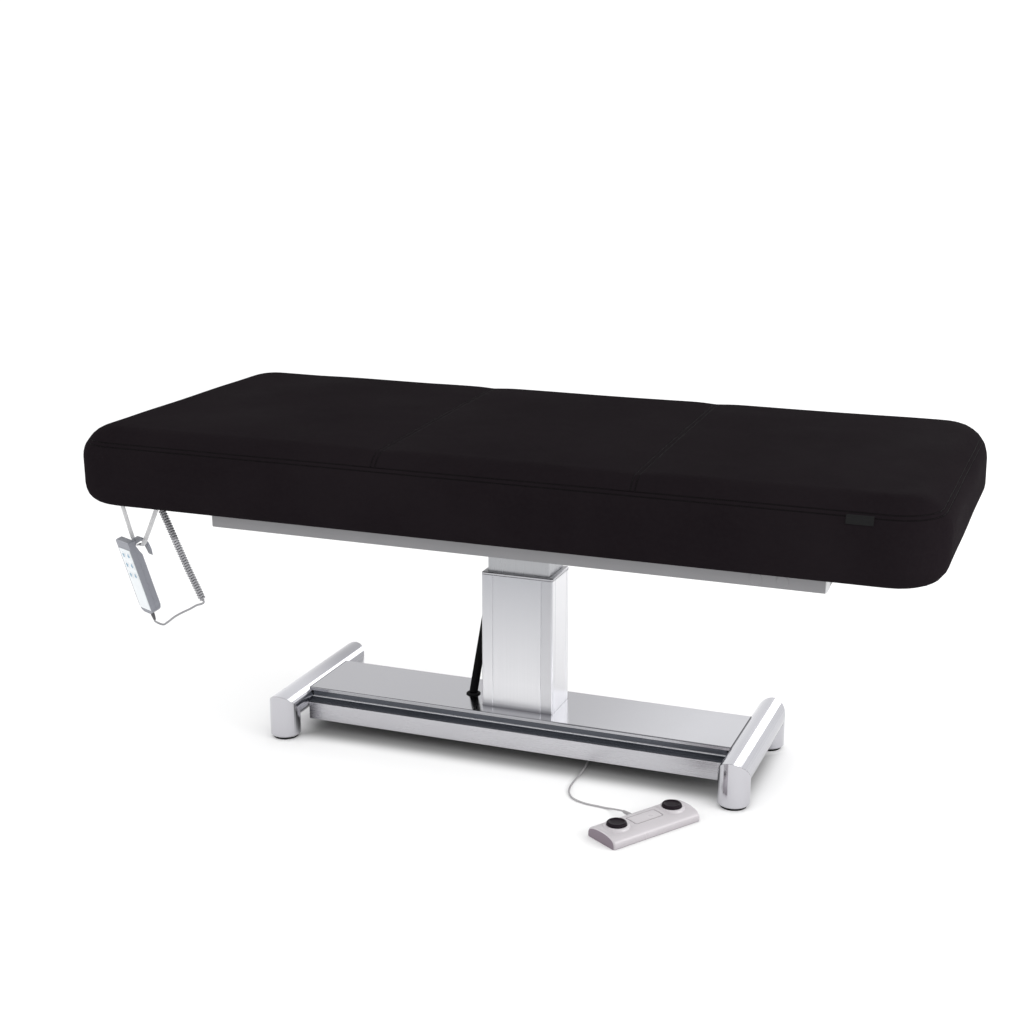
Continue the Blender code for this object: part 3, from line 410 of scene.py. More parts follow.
def webbing():
    look = Look("webbing", (0.62, 0.62, 0.63), 0.80, specular=0.3)
    weave = look.wave(420.0, 0.4)
    look.colour(look.mix(look.remap(weave, 0.2, 0.8), (0.52, 0.52, 0.53), (0.72, 0.72, 0.73)))
    look.bump(weave, 0.5, 0.0002)
    look.bump(look.noise(1500.0, 2.0), 0.3, 0.0001)
    return look.mat


def woven_label():
    look = Look("woven_label", (0.006, 0.006, 0.0062), 0.85, specular=0.2)
    weave = look.wave(700.0, 0.2)
    look.colour(look.mix(look.remap(weave, 0.2, 0.8), (0.003, 0.003, 0.0034), (0.008, 0.008, 0.0085)))
    look.bump(weave, 0.4, 0.00012)
    return look.mat


def braided():
    """Black braided sleeve: two crossing sets of strands round the tube."""
    look = Look("braided_sleeve", (0.004, 0.004, 0.0045), 0.70, specular=0.03)
    one, two = (look.wave(260.0, direction="DIAGONAL", vector=look.stretched((way, way, 1.4)))
                for way in (1.0, -1.0))
    weave = look.maths("MULTIPLY", one, two)
    look.colour(look.mix(weave, (0.003, 0.003, 0.0032), (0.010, 0.010, 0.011)))
    look.bump(weave, 0.5, 0.0003)
    return look.mat


LEATHER = leatherette()
POLISHED = polished("polished_steel", (0.545, 0.540, 0.570))
FASCIA_STEEL = polished("fascia_steel", (0.530, 0.525, 0.550), rough=0.26)
# painted shade on the foot bars: the left one darker towards the back, the right one darker towards its
# underside
BAR_LEFT_STEEL = polished("bar_left_steel", (0.540, 0.540, 0.575), (1, -0.12, 0.16, 0.62))
BAR_RIGHT_STEEL = polished("bar_right_steel", (0.500, 0.500, 0.535), (2, 0.100, 0.058, 0.85))
PLATE_STEEL = plate()
FOOT_PLASTIC = foot_plastic()
TRIM = trim()
ALUMINIUM = brushed("satin_aluminium", (0.44, 0.44, 0.46), 0.30, (500.0, 500.0, 3.0))
COLUMN_SKIN = column_skin()
# the inner tubes are a darker tone than the outer one, lowered partly as painted shade from the cushion above
# them
INNER = brushed("anodised_inner", (0.38, 0.385, 0.40), 0.30, (500.0, 500.0, 3.0))
PAINT = moulded("silver_paint", (0.235, 0.233, 0.242), 0.42, grain=2600.0, specular=0.4, tint=0.03,
                strength=0.08)
END_CAP = moulded("pale_end_cap", (0.62, 0.62, 0.63), 0.45)
STEEL = brushed("plain_steel", (0.38, 0.38, 0.40), 0.42, (300.0, 300.0, 8.0))
RUBBER = moulded("black_rubber", (0.007, 0.007, 0.0075), 0.72, grain=900.0, specular=0.1, strength=0.3)
BLACK = moulded("black_plastic", (0.010, 0.009, 0.010), 0.45, specular=0.2)
GLOSS_BLACK = moulded("button_black", (0.0135, 0.0095, 0.0130), 0.34, grain=3000.0, specular=0.05,
                      strength=0.02)
NYLON = moulded("glide_nylon", (0.68, 0.67, 0.63), 0.50)
GREY = moulded("handset_grey", (0.225, 0.232, 0.262), 0.42, specular=0.45)
MEMBRANE = moulded("membrane", (0.70, 0.73, 0.75), 0.34, grain=3600.0, tint=0.02, strength=0.05)
ICON = moulded("key_print", (0.16, 0.30, 0.42), 0.45, grain=3600.0, strength=0.05)
DARK_GREY = moulded("relief_grey", (0.075, 0.075, 0.080), 0.45)
OFF_WHITE = moulded("off_white_plastic", (0.50, 0.475, 0.495), 0.30, tint=0.02, strength=0.02)
# darker copy of the off-white plastic for the left end of the foot control: painted shade
SHADED_END_PLASTIC = moulded("foot_control_shaded_end", (0.175, 0.140, 0.168), 0.42, tint=0.04, strength=0.04)
WHITE_CORD = moulded("white_cord", (0.34, 0.33, 0.34), 0.42, grain=1200.0)
GREY_CORD = moulded("grey_cord", (0.30, 0.30, 0.315), 0.45, grain=1200.0)
WEBBING = webbing()
LABEL = woven_label()
BRAID = braided()
THREAD = moulded("thread", (0.004, 0.0035, 0.0038), 0.70, grain=4000.0, specular=0.2)

# finish of each material slot of the record; the board's plywood is painted black
FINISHES = {
    "polished_steel": POLISHED, "dark_trim": TRIM, "plain_steel": STEEL, "black_rubber": RUBBER,
    "satin_aluminium": ALUMINIUM, "glide_nylon": NYLON, "black_plastic": BLACK, "grey_paint": PAINT,
    "plywood": BLACK, "black_leatherette": LEATHER, "woven_label": LABEL, "white_webbing": WEBBING,
    "grey_plastic": GREY, "white_membrane": MEMBRANE, "grey_cord": GREY_CORD, "white_plastic": OFF_WHITE,
    "white_cord": WHITE_CORD,
}


# ================================================================ camera, floor and light
def stage():
    camera = bpy.data.cameras.new("camera")
    camera.lens = 57.87
    camera.sensor_width = 36.0
    made = bpy.data.objects.new("camera", camera)
    made.location = Vector((1.2645, -3.3662, 1.5132)) + SHIFT
    made.rotation_euler = (radians(75.0795), 0.0, radians(21.0805))
    bpy.context.scene.collection.objects.link(made)
    bpy.context.scene.camera = made
    bpy.context.scene.view_settings.view_transform = "Standard"

    # a pale floor with a painted shadow under the base (0.500 x 0.105 from its middle) and a little past its
    # edges
    floor = Look("studio_floor", (0.93, 0.93, 0.93), 0.9, specular=0.0)
    pale = floor.mix(floor.swing(floor.noise(0.6, 2.0)), (0.925, 0.925, 0.925), (0.935, 0.935, 0.935))
    beside = floor.maths("SUBTRACT", floor.maths("ABSOLUTE", floor.axis(1)), 0.105)
    beyond = floor.maths("SUBTRACT", floor.maths("ABSOLUTE", floor.axis(0)), 0.500)
    away = floor.maths("MAXIMUM", beside, beyond)
    # painted contact shadow round the base
    under = floor.remap(away, -0.010, 0.075, 0.70, 0.0, "SMOOTHERSTEP")
    floor.colour(floor.mix(under, pale, (0.02, 0.02, 0.02)))
    bm = bmesh.new()
    bmesh.ops.create_grid(bm, x_segments=24, y_segments=24, size=30.0)
    mesh = bpy.data.meshes.new("floor")
    bm.to_mesh(mesh)
    bm.free()
    mesh.materials.append(floor.mat)
    ground = bpy.data.objects.new("floor", mesh)
    bpy.context.scene.collection.objects.link(ground)

    world = bpy.data.worlds.new("studio")
    bpy.context.scene.world = world
    world.use_nodes = True
    background = world.node_tree.nodes["Background"].inputs
    background["Color"].default_value = (1.0, 1.0, 1.0, 1.0)
    background["Strength"].default_value = 1.12

    def panel(name, place, target, width, height, power, glossy=True):
        light = bpy.data.lights.new(name, "AREA")
        light.shape = "RECTANGLE"
        light.size, light.size_y = width, height
        light.energy = power
        panel_object = bpy.data.objects.new(name, light)
        panel_object.location = place
        panel_object.rotation_euler = (Vector(target) - Vector(place)).to_track_quat("-Z", "Y").to_euler()
        panel_object.visible_camera = False
        panel_object.visible_glossy = glossy
        bpy.context.scene.collection.objects.link(panel_object)

    panel("key_right", (3.6, -0.6, 1.5), (0.0, 0.0, 0.3), 2.2, 1.6, 60.0)
    panel("strip_left", (-3.2, -1.0, 1.3), (0.0, 0.0, 0.3), 0.7, 1.8, 18.0)
    panel("strip_back", (0.9, 4.0, 1.9), (0.0, 0.0, 0.2), 1.6, 1.3, 18.0)
    panel("under_fill", (0.0, 0.0, 0.50), (0.0, 0.0, 0.0), 1.6, 0.66, 3.0, glossy=False)


stage()


# ================================================================ cords
HANDSET = (Matrix.Translation(Vector((-0.8250, -0.3750, 0.5010)) + SHIFT)
           @ Matrix.Rotation(radians(-25.0), 4, "Z") @ Matrix.Rotation(radians(17.0), 4, "X"))
FOOT = Matrix.Translation(Vector((0.3945, -0.3465, 0.0)) + SHIFT) @ Matrix.Rotation(radians(57.0), 4, "Z")
COIL_ROUTE = [(-0.7637, -0.3050, 0.5680), (-0.7505, -0.3050, 0.5400), (-0.7255, -0.3050, 0.4850),
              (-0.7000, -0.3050, 0.4300), (-0.6775, -0.3050, 0.3850), (-0.6655, -0.3050, 0.3595)]
TAIL_ROUTE = [(-0.6636, -0.3050, 0.3553), (-0.6700, -0.3048, 0.3510), (-0.6834, -0.3045, 0.3460),
              (-0.7017, -0.3035, 0.3350), (-0.7228, -0.3020, 0.3236), (-0.7441, -0.3010, 0.3110),
              (-0.7660, -0.3005, 0.2940), (-0.7790, -0.3000, 0.2868)]
FOOT_ROUTE = [(0.3080, -0.2915, 0.0050), (0.2910, -0.2862, 0.0022), (0.2700, -0.2840, 0.0022),
              (0.2500, -0.2822, 0.0022), (0.2280, -0.2760, 0.0022), (0.2080, -0.2640, 0.0022),
              (0.1935, -0.2430, 0.0022), (0.1860, -0.2170, 0.0022), (0.1835, -0.1900, 0.0022),
              (0.1835, -0.1600, 0.0022), (0.1835, -0.1300, 0.0022), (0.1815, -0.0980, 0.0022),
              (0.1785, -0.0680, 0.0040), (0.1755, -0.0420, 0.0130), (0.1738, -0.0200, 0.0270),
              (0.1732, -0.0030, 0.0365), (0.1730, 0.0117, 0.0390)]
HANDSET_CORD_RADIUS, FOOT_CORD_RADIUS = 0.0024, 0.0020
CURL_RADIUS, CURL_TURNS, CURL_STEPS = 0.0062, 38, 16    # helix of the handset cord, and its points in a turn
HANDSET_EXIT = [HANDSET @ Vector((0.0, 0.0110, z)) for z in (-0.2190, -0.2133)]
FOOT_EXIT = [FOOT @ Vector((0.0, 0.0686, 0.0125)), FOOT @ Vector((0.0, 0.0770, 0.0110))]


def cords():
    # curly handset cord: the curl and its straight tail are one wire; the first and last turns are tightened
    places = list(frames_along(smooth_points(world_route(COIL_ROUTE), 0.0010)))
    total = CURL_TURNS * CURL_STEPS
    helix = []
    for k in range(total + 1):
        at = k / total * (len(places) - 1)
        low = min(int(at), len(places) - 2)
        point = places[low][0].lerp(places[low + 1][0], at - low)
        side, up = places[low][1], places[low][2]
        angle = 2 * pi * k / CURL_STEPS
        ease = min(1.0, k / CURL_STEPS, (total - k) / CURL_STEPS)
        reach = CURL_RADIUS * (0.15 + 0.85 * ease)
        helix.append(point + side * (reach * cos(angle)) + up * (reach * sin(angle)))
    points = helix + smooth_points([helix[-1]] + world_route(TAIL_ROUTE) + HANDSET_EXIT, 0.0035)[1:]
    made = wire("handset_cord", points, HANDSET_CORD_RADIUS, "top", GREY_CORD)
    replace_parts(made, "handset_coil", "handset_tail")
    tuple(points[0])
    route_length(points)

    points = smooth_points(FOOT_EXIT + world_route(FOOT_ROUTE), 0.0050)
    made = wire("foot_control_cord", points, FOOT_CORD_RADIUS, "root", WHITE_CORD, 4)
    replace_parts(made, "foot_cord")
    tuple(points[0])
    route_length(points)


cords()


# ================================================================ cushion
EDGE_TOP, EDGE_BOTTOM, PLAN_RADIUS = 0.068, 0.045, 0.105
SEAM_LOW, SEAM_HIGH = radians(33.0), radians(41.0)     # stitch lines, as angles on the upper edge
CROSS_SEAMS = ((-0.2265, 0.055), (0.3335, 0.042))      # places from the cushion's middle, and slants
STITCH_GAP = 0.0048                                    # from a cross seam to each of its stitch lines
THREAD_RISE = 0.0003                                   # of the middle of a thread above the bottom of its groove
POCKET_INSET, POCKET_DEPTH = 0.061, 0.0123
LABEL_X, LABEL_Z = (0.7830, 0.8360), (0.7140, 0.7305)  # in the column's frame
LABEL_SUNK, LABEL_THICK, LABEL_FOLD = 0.0006, 0.0011, 0.0006
LABEL_COLUMNS, LABEL_ROWS = 14, 8
SWELL, CLOTH_REACH = 0.0040, 0.0080                    # most the cover swells, and the cloth's travel for it
COARSE, COARSE_BAND = 0.026, 0.018                     # cloth grid
FINE, FINE_BAND = 0.013, 0.012                         # finished grid, away from its seams


def cubic(values, old, new):
    """Catmull-Rom interpolation, along the first axis, of values given at the places old, to the places new."""
    old, new = np.asarray(old, float), np.asarray(new, float)
    at = np.clip(np.searchsorted(old, new, side="right") - 1, 0, len(old) - 2)
    t = ((new - old[at]) / (old[at + 1] - old[at])).reshape((-1,) + (1,) * (values.ndim - 1))
    p0, p1 = values[np.clip(at - 1, 0, len(old) - 1)], values[at]
    p2, p3 = values[at + 1], values[np.clip(at + 2, 0, len(old) - 1)]
    return 0.5 * (2 * p1 + (p2 - p0) * t + (2 * p0 - 5 * p1 + 4 * p2 - p3) * t ** 2
                  + (3 * p1 - p0 - 3 * p2 + p3) * t ** 3)


class Cushion:
    """The cushion's surface as a grid: a top panel, and a band that runs from its rim round to the underside."""

    def __init__(self):
        low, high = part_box("cushion")
        self.middle = (low + high) / 2
        self.half = (high - low) / 2
        self.low, self.high = low.z, high.z
        self.rim_x, self.rim_y = self.half.x - EDGE_TOP, self.half.y - EDGE_TOP
        straight = self.high - self.low - EDGE_TOP - EDGE_BOTTOM
        self.spans = (EDGE_TOP * pi / 2, straight, EDGE_BOTTOM * pi / 2)
        self.length = sum(self.spans)

    def profile(self, s):
        """(inset, height, outward part of the normal, upward part) at arc length s below the rim."""
        top, straight, _ = self.spans
        if s <= top:
            angle = pi / 2 - s / EDGE_TOP
            return EDGE_TOP * (1 - cos(angle)), self.high - EDGE_TOP * (1 - sin(angle)), cos(angle), sin(angle)
        if s <= top + straight:
            return 0.0, self.high - EDGE_TOP - (s - top), 1.0, 0.0
        angle = min(pi / 2, (s - top - straight) / EDGE_BOTTOM)
        inset, height = EDGE_BOTTOM * (1 - cos(angle)), self.low + EDGE_BOTTOM * (1 - sin(angle))
        return inset, height, cos(angle), -sin(angle)

    def rim(self, x, y, reach):
        """Moves a point of a rectangle, reach inside the rim, onto the ring of a rounded one.

        Returns the new x and y, the centre that its corner is turned about, and the way out from there.
        """
        radius = max(PLAN_RADIUS - EDGE_TOP - reach, 0.0)
        half_x, half_y = self.rim_x - reach, self.rim_y - reach
        ix = max(-half_x + radius, min(half_x - radius, x))
        iy = max(-half_y + radius, min(half_y - radius, y))
        dx, dy = x - ix, y - iy
        size = (dx * dx + dy * dy) ** 0.5
        if size < 1e-9 or radius == 0.0:
            return x, y, ix, iy, (0.0, 0.0)
        return ix + radius * dx / size, iy + radius * dy / size, ix, iy, (dx / size, dy / size)

    def slant(self, x, y):
        """The cross seams run slightly askew; the grid between them follows."""
        places, slants = zip((-self.rim_x, 0.0), *CROSS_SEAMS, (self.rim_x, 0.0))
        return x - float(np.interp(x, places, slants)) * y

    def build(self, xs, ys, levels):
        """The points of the top, [i, j], and of the band, [around, level], the band's normals, and the walk.

        The walk lists the top's outermost grid places in the order that the band goes round them.
        """
        top = np.zeros((len(xs), len(ys), 3))
        for i, x in enumerate(xs):
            for j, y in enumerate(ys):
                reach = min(self.rim_x - abs(x), self.rim_y - abs(y))
                px, py, *_ = self.rim(x, y, reach)
                top[i, j] = (self.slant(px, py), py, self.high)
        last_x, last_y = len(xs) - 1, len(ys) - 1
        walk = ([(i, 0) for i in range(last_x)] + [(last_x, j) for j in range(last_y)]
                + [(i, last_y) for i in range(last_x, 0, -1)] + [(0, j) for j in range(last_y, 0, -1)])
        band, outward = np.zeros((len(walk), len(levels), 3)), np.zeros((len(walk), len(levels), 3))
        for k, (i, j) in enumerate(walk):
            _, _, ix, iy, way = self.rim(xs[i], ys[j], 0.0)
            for m, s in enumerate(levels):
                inset, z, out, up = self.profile(s)
                reach = PLAN_RADIUS - inset
                qx, qy = ix + reach * way[0], iy + reach * way[1]
                band[k, m] = (self.slant(qx, qy), qy, z)
                outward[k, m] = (way[0] * out, way[1] * out, up)
        for grid in (top, band):
            grid[..., 0] += self.middle.x
            grid[..., 1] += self.middle.y
        return top, band, outward, walk

    def mesh(self, name, top, band, walk, bottom_rings=()):
        """One closed mesh of the top, the band and the rings under it, with the index grids of its vertices."""
        nx, ny = top.shape[:2]
        verts = [tuple(v) for v in top.reshape(-1, 3)]
        top_index = np.arange(nx * ny).reshape(nx, ny)
        faces = [(top_index[i, j], top_index[i + 1, j], top_index[i + 1, j + 1], top_index[i, j + 1])
                 for i in range(nx - 1) for j in range(ny - 1)]
        band_index = np.zeros(band.shape[:2], int)
        for k, (i, j) in enumerate(walk):
            band_index[k, 0] = top_index[i, j]
        for m in range(1, band.shape[1]):
            for k in range(len(walk)):
                band_index[k, m] = len(verts)
                verts.append(tuple(band[k, m]))
        rings = [band_index[:, m] for m in range(band.shape[1])]
        for ring in bottom_rings:
            rings.append(np.arange(len(verts), len(verts) + len(walk)))
            verts.extend(ring)
        for upper, lower in zip(rings, rings[1:]):
            for k in range(len(walk)):
                n = (k + 1) % len(walk)
                faces.append((upper[k], lower[k], lower[n], upper[n]))
        faces.append(tuple(int(v) for v in rings[-1]))
        mesh = bpy.data.meshes.new(name)
        mesh.from_pydata(verts, [], [tuple(int(v) for v in face) for face in faces])
        mesh.update()
        return mesh, top_index, band_index


def even(low, high, step, extra=()):
    """Grid lines about step apart from low to high, with a dense set of lines round each of extra."""
    near = (0.002, 0.0034, 0.0048, 0.0062, 0.0076, 0.010, 0.014)
    fine = [c + d for c in extra for d in [-v for v in near] + [0.0] + list(near)]
    count = ceil((high - low) / step)
    lines = [low + (high - low) * k / count for k in range(count + 1)]
    kept = [v for v in lines if all(abs(v - c) > 0.020 for c in extra)]
    return sorted(kept + fine)


def inflate(shape, xs, ys, levels):
    """Cloth simulation of the cover on a coarse grid: held at its seams and below, swollen between them."""
    top, band, outward, walk = shape.build(xs, ys, levels)
    mesh, top_index, band_index = shape.mesh("cover", top, band, walk)
    rest = np.array([v.co for v in mesh.vertices])
    cover = bpy.data.objects.new("cover", mesh)
    bpy.context.scene.collection.objects.link(cover)
    hold = cover.vertex_groups.new(name="hold")
    seam_s = shape.spans[0] - 0.5 * (SEAM_LOW + SEAM_HIGH) * EDGE_TOP
    for m, s in enumerate(levels):
        near = max(0.0, 1.0 - abs(s - seam_s) / 0.012)
        weight = max(0.65 * near, 1.0 if s > shape.length - 0.045 else 0.0)
        if weight:
            hold.add([int(v) for v in band_index[:, m]], weight, "REPLACE")
    for i, x in enumerate(xs):
        for centre, _ in CROSS_SEAMS:
            if abs(x - centre) < 0.010:
                hold.add([int(v) for v in top_index[i]], 0.45, "REPLACE")
    cloth = cover.modifiers.new("cloth", "CLOTH")
    settings = cloth.settings
    settings.quality = 5
    settings.mass = 0.25
    settings.tension_stiffness = settings.compression_stiffness = 12.0
    settings.shear_stiffness = 4.0
    settings.bending_stiffness = 0.4
    settings.use_pressure = True
    settings.uniform_pressure_force = 4.0
    settings.vertex_group_mass = "hold"
    settings.effector_weights.gravity = 0.0
    cloth.collision_settings.use_collision = False
    cloth.point_cache.frame_start, cloth.point_cache.frame_end = 1, 20
    for number in range(1, 21):
        bpy.context.scene.frame_set(number)
    graph = bpy.context.evaluated_depsgraph_get()
    done = cover.evaluated_get(graph).to_mesh()
    moved = np.array([v.co for v in done.vertices]) - rest
    cover.evaluated_get(graph).to_mesh_clear()
    bpy.context.scene.frame_set(1)
    bpy.data.objects.remove(cover)
    swell_top = np.clip(moved[top_index][..., 2], 0.0, None)
    swell_band = np.clip((moved[band_index] * outward).sum(axis=-1), 0.0, None)
    for _ in range(3):
        swell_top = blurred(blurred(swell_top, 0), 1)
        swell_band = blurred((np.roll(swell_band, 1, 0) + 2 * swell_band + np.roll(swell_band, -1, 0)) / 4, 1)
    return SWELL * np.tanh(swell_top / CLOTH_REACH), SWELL * np.tanh(swell_band / CLOTH_REACH)


def blurred(values, axis):
    """Each value averaged with its neighbours along one axis, the ends kept in place."""
    padded = np.concatenate([values.take([0], axis), values, values.take([-1], axis)], axis)
    size = values.shape[axis]
    return (padded.take(range(size), axis) + 2 * values + padded.take(range(2, size + 2), axis)) / 4


def upholstery():
    shape = Cushion()
    seam_low, seam_high = shape.spans[0] - SEAM_LOW * EDGE_TOP, shape.spans[0] - SEAM_HIGH * EDGE_TOP
    centres = [c for c, _ in CROSS_SEAMS]

    # the cover, swollen on a coarse grid and carried to a fine one
    spaced = [v for v in even(-shape.rim_x, shape.rim_x, COARSE) if all(abs(v - c) > 0.012 for c in centres)]
    coarse_x, coarse_y = sorted(spaced + centres), even(-shape.rim_y, shape.rim_y, COARSE)
    coarse_s = even(0.0, shape.length, COARSE_BAND)
    xs, ys = even(-shape.rim_x, shape.rim_x, FINE, centres), even(-shape.rim_y, shape.rim_y, FINE)
    outer, inner = (-0.0075, -0.0045), (-0.0030, -0.0020, -0.0012, -0.0006, 0.0, 0.0006, 0.0012, 0.0020, 0.0030)
    middle = (seam_low + seam_high) / 2
    near = sorted({round(v, 5) for v in [seam_low + d for d in inner] + [seam_low - d for d in outer]
                   + [seam_high + d for d in outer + inner] + [middle]})
    levels = [v for v in even(0.0, shape.length, FINE_BAND) if not near[0] - 0.004 < v < near[-1] + 0.004]
    levels = sorted(levels + near)
    top, band, outward, walk = shape.build(xs, ys, levels)
    lift_top, lift_band = np.zeros(top.shape[:2]), np.zeros(band.shape[:2])
    swell_top, swell_band = inflate(shape, coarse_x, coarse_y, coarse_s)
    lift_top = cubic(cubic(swell_top, coarse_x, xs).T, coarse_y, ys).T
    nx, ny = len(coarse_x), len(coarse_y)
    front, right = swell_band[:nx], swell_band[nx - 1:nx + ny - 1]
    back = swell_band[nx + ny - 2:2 * nx + ny - 2][::-1]
    left = np.concatenate([swell_band[2 * nx + ny - 3:], swell_band[:1]])[::-1]
    for k, (i, j) in enumerate(walk):
        if j in (0, len(ys) - 1):
            side = cubic(back if j else front, coarse_x, [xs[i]])[0]
        else:
            side = cubic(right if i else left, coarse_y, [ys[j]])[0]
        lift_band[k] = cubic(side, coarse_s, levels)
    # crown of the panels, dips at the cross seams, soft unevenness of the foam
    # painted shade in the stitch grooves, one value for each grid point
    seam_shade_top, seam_shade_band = np.zeros(top.shape[:2]), np.zeros(band.shape[:2])

    def across(x):
        """Depth of the cross seams' crease and stitch grooves at grid place x, and the painted shade in those
        grooves.
        """
        depth, groove_shade = 0.0, 0.0
        for centre in centres:
            off = abs(x - centre)
            depth += 0.0022 * np.exp(-(off / 0.030) ** 2) + 0.0006 * np.exp(-(off / 0.0018) ** 2)
            line = np.exp(-((off - STITCH_GAP) / 0.0011) ** 2)
            depth += 0.0009 * line
            groove_shade = max(groove_shade, line)
        return depth, groove_shade

    for i, x in enumerate(xs):
        depth, groove_shade = across(x)
        for j, y in enumerate(ys):
            edge = min(1.0, min(shape.rim_x - abs(x), shape.rim_y - abs(y)) / 0.10)
            soft = (0.0005 * sin(9.0 * x + 2.0 * y + 0.6) * cos(7.0 * y - 3.0 * x)
                    + 0.0003 * sin(23.0 * x - 11.0 * y))
            top[i, j, 2] += lift_top[i, j] + 0.0010 * edge + soft - depth
            seam_shade_top[i, j] = groove_shade
    for k, (i, j) in enumerate(walk):
        x, y = xs[i], ys[j]
        long_side = j in (0, len(ys) - 1)
        depth_x, groove_shade_x = across(x) if long_side else (0.0, 0.0)
        for m, s in enumerate(levels):
            above = 1.0 if s < seam_high else 0.0
            line = max(np.exp(-((s - seam) / 0.0010) ** 2) for seam in (seam_low, seam_high))
            crease = 0.0007 * np.exp(-((s - middle) / 0.0090) ** 2)
            wave = 0.0004 * sin(13.0 * x + 17.0 * y + 40.0 * s) if s < shape.length - 0.05 else 0.0
            sink = 0.0009 * line + crease + above * depth_x + wave
            band[k, m] += outward[k, m] * (lift_band[k, m] - sink)
            seam_shade_band[k, m] = max(line, above * groove_shade_x)
    for k, (i, j) in enumerate(walk):
        band[k, 0] = top[i, j]

    band[..., 2] = np.maximum(band[..., 2], shape.low)
    rings = []
    for inset, z in ((POCKET_INSET, shape.low), (POCKET_INSET + 0.0002, shape.low + POCKET_DEPTH)):
        ring = []
        for i, j in walk:
            _, _, ix, iy, way = shape.rim(xs[i], ys[j], 0.0)
            reach = PLAN_RADIUS - inset
            ring.append((ix + reach * way[0] + shape.middle.x, iy + reach * way[1] + shape.middle.y, z))
        rings.append(ring)
    mesh, top_index, band_index = shape.mesh("cushion_cover", top, band, walk, rings)
    # the painted groove shade goes to the mesh as its seam attribute
    groove_shade = np.zeros(len(mesh.vertices))
    groove_shade[top_index] = seam_shade_top
    groove_shade[band_index[:, 1:]] = seam_shade_band[:, 1:]
    seam = mesh.attributes.new("seam", "FLOAT", "POINT")
    seam.data.foreach_set("value", groove_shade.astype(np.float32))
    bm = bmesh.new()
    bm.from_mesh(mesh)
    bmesh.ops.recalc_face_normals(bm, faces=bm.faces)
    bm.to_mesh(mesh)
    bm.free()
    mesh.shade_smooth()
    mesh.set_sharp_from_angle(angle=radians(60))
    cover = new_object("cushion_cover", mesh, "top", (LEATHER,))
    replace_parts(cover, "cushion")

    # the rows of stitches: short threads that lie in the grooves
    def nearest(values, goal):
        return int(np.argmin([abs(v - goal) for v in values]))

    around = list(range(len(walk))) + [0]
    lines = [([Vector(band[k, m]) for k in around], [Vector(outward[k, m]) for k in around])
             for m in (nearest(levels, seam_low), nearest(levels, seam_high))]
    last = nearest(levels, seam_high)
    for centre in centres:
        for off in (-STITCH_GAP, STITCH_GAP):
            i = nearest(xs, centre + off)
            ends = [(walk.index((i, 0)), m) for m in range(last, 0, -1)], \
                [(walk.index((i, len(ys) - 1)), m) for m in range(1, last + 1)]
            path, ups = ([[Vector(grid[at]) for at in end] for end in ends] for grid in (band, outward))
            lines.append((path[0] + [Vector(v) for v in top[i]] + path[1],
                          ups[0] + [Vector((0, 0, 1))] * len(ys) + ups[1]))
    bm = bmesh.new()
    for path, ups in lines:
        add_stitches(bm, [point + up * THREAD_RISE for point, up in zip(path, ups)], ups)
    solid("cushion_stitching", bm, "top", THREAD)
    label(shape, xs, levels, band, outward)


def label(shape, xs, levels, band, outward):
    """Blank woven label, folded at both ends, sewn flat on the swollen front edge."""
    left, right = (x - shape.middle.x + SHIFT.x for x in LABEL_X)
    s_low, s_high = (shape.spans[0] - asin((z - shape.high + EDGE_TOP) / EDGE_TOP) * EDGE_TOP for z in LABEL_Z)

    def on_cover(grid, x, s):
        """A grid's value on the front of the cover, at place x and arc length s."""
        front = grid[:len(xs) - 1]
        down = [[np.interp(x, xs[:-1], front[:, n, axis]) for n in range(len(levels))] for axis in range(3)]
        return Vector([float(np.interp(s, levels, values)) for values in down])

    bm = bmesh.new()
    rings = []
    for k in range(LABEL_COLUMNS + 1):
        x = left + (right - left) * k / LABEL_COLUMNS
        inner, outer = [], []
        for m in range(LABEL_ROWS + 1):
            s = s_low + (s_high - s_low) * m / LABEL_ROWS
            base, way = on_cover(band, x, s), on_cover(outward, x, s)
            folded = k < 2 or k > LABEL_COLUMNS - 2
            inner.append(base - way * LABEL_SUNK)
            outer.append(base + way * (LABEL_THICK + (LABEL_FOLD if folded else 0.0)))
        rings.append(inner + outer[::-1])
    loft(bm, rings)
    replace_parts(solid("sewn_label", bm, "top", LABEL, 50.0), "cushion_label")


def add_stitches(bm, path, ups, pitch=0.0042, long=0.0032, thick=0.00055):
    """Thread segments along a path: small six-sided lozenges that dip into the cover at both ends."""
    lengths = [0.0]
    for a, b in zip(path, path[1:]):
        lengths.append(lengths[-1] + (b - a).length)
    count = int(lengths[-1] / pitch)
    at = 0
    for k in range(count):
        start = k * pitch
        while at < len(lengths) - 2 and lengths[at + 1] < start:
            at += 1
        span = lengths[at + 1] - lengths[at]
        if span < 1e-9:
            continue
        base = path[at].lerp(path[at + 1], (start - lengths[at]) / span)
        along = (path[at + 1] - path[at]).normalized()
        up = (ups[at] - along * ups[at].dot(along)).normalized()
        side = along.cross(up)
        rings = []
        for share, grow, rise in ((0.0, 0.35, -0.0004), (0.25, 1.0, 0.0), (0.75, 1.0, 0.0),
                                  (1.0, 0.35, -0.0004)):
            centre = base + along * (share * long) + up * rise
            rings.append([centre + side * (thick * grow * cos(a)) + up * (thick * grow * sin(a))
                          for a in (0.0, pi / 2, pi, 3 * pi / 2)])
        loft(bm, rings)


upholstery()


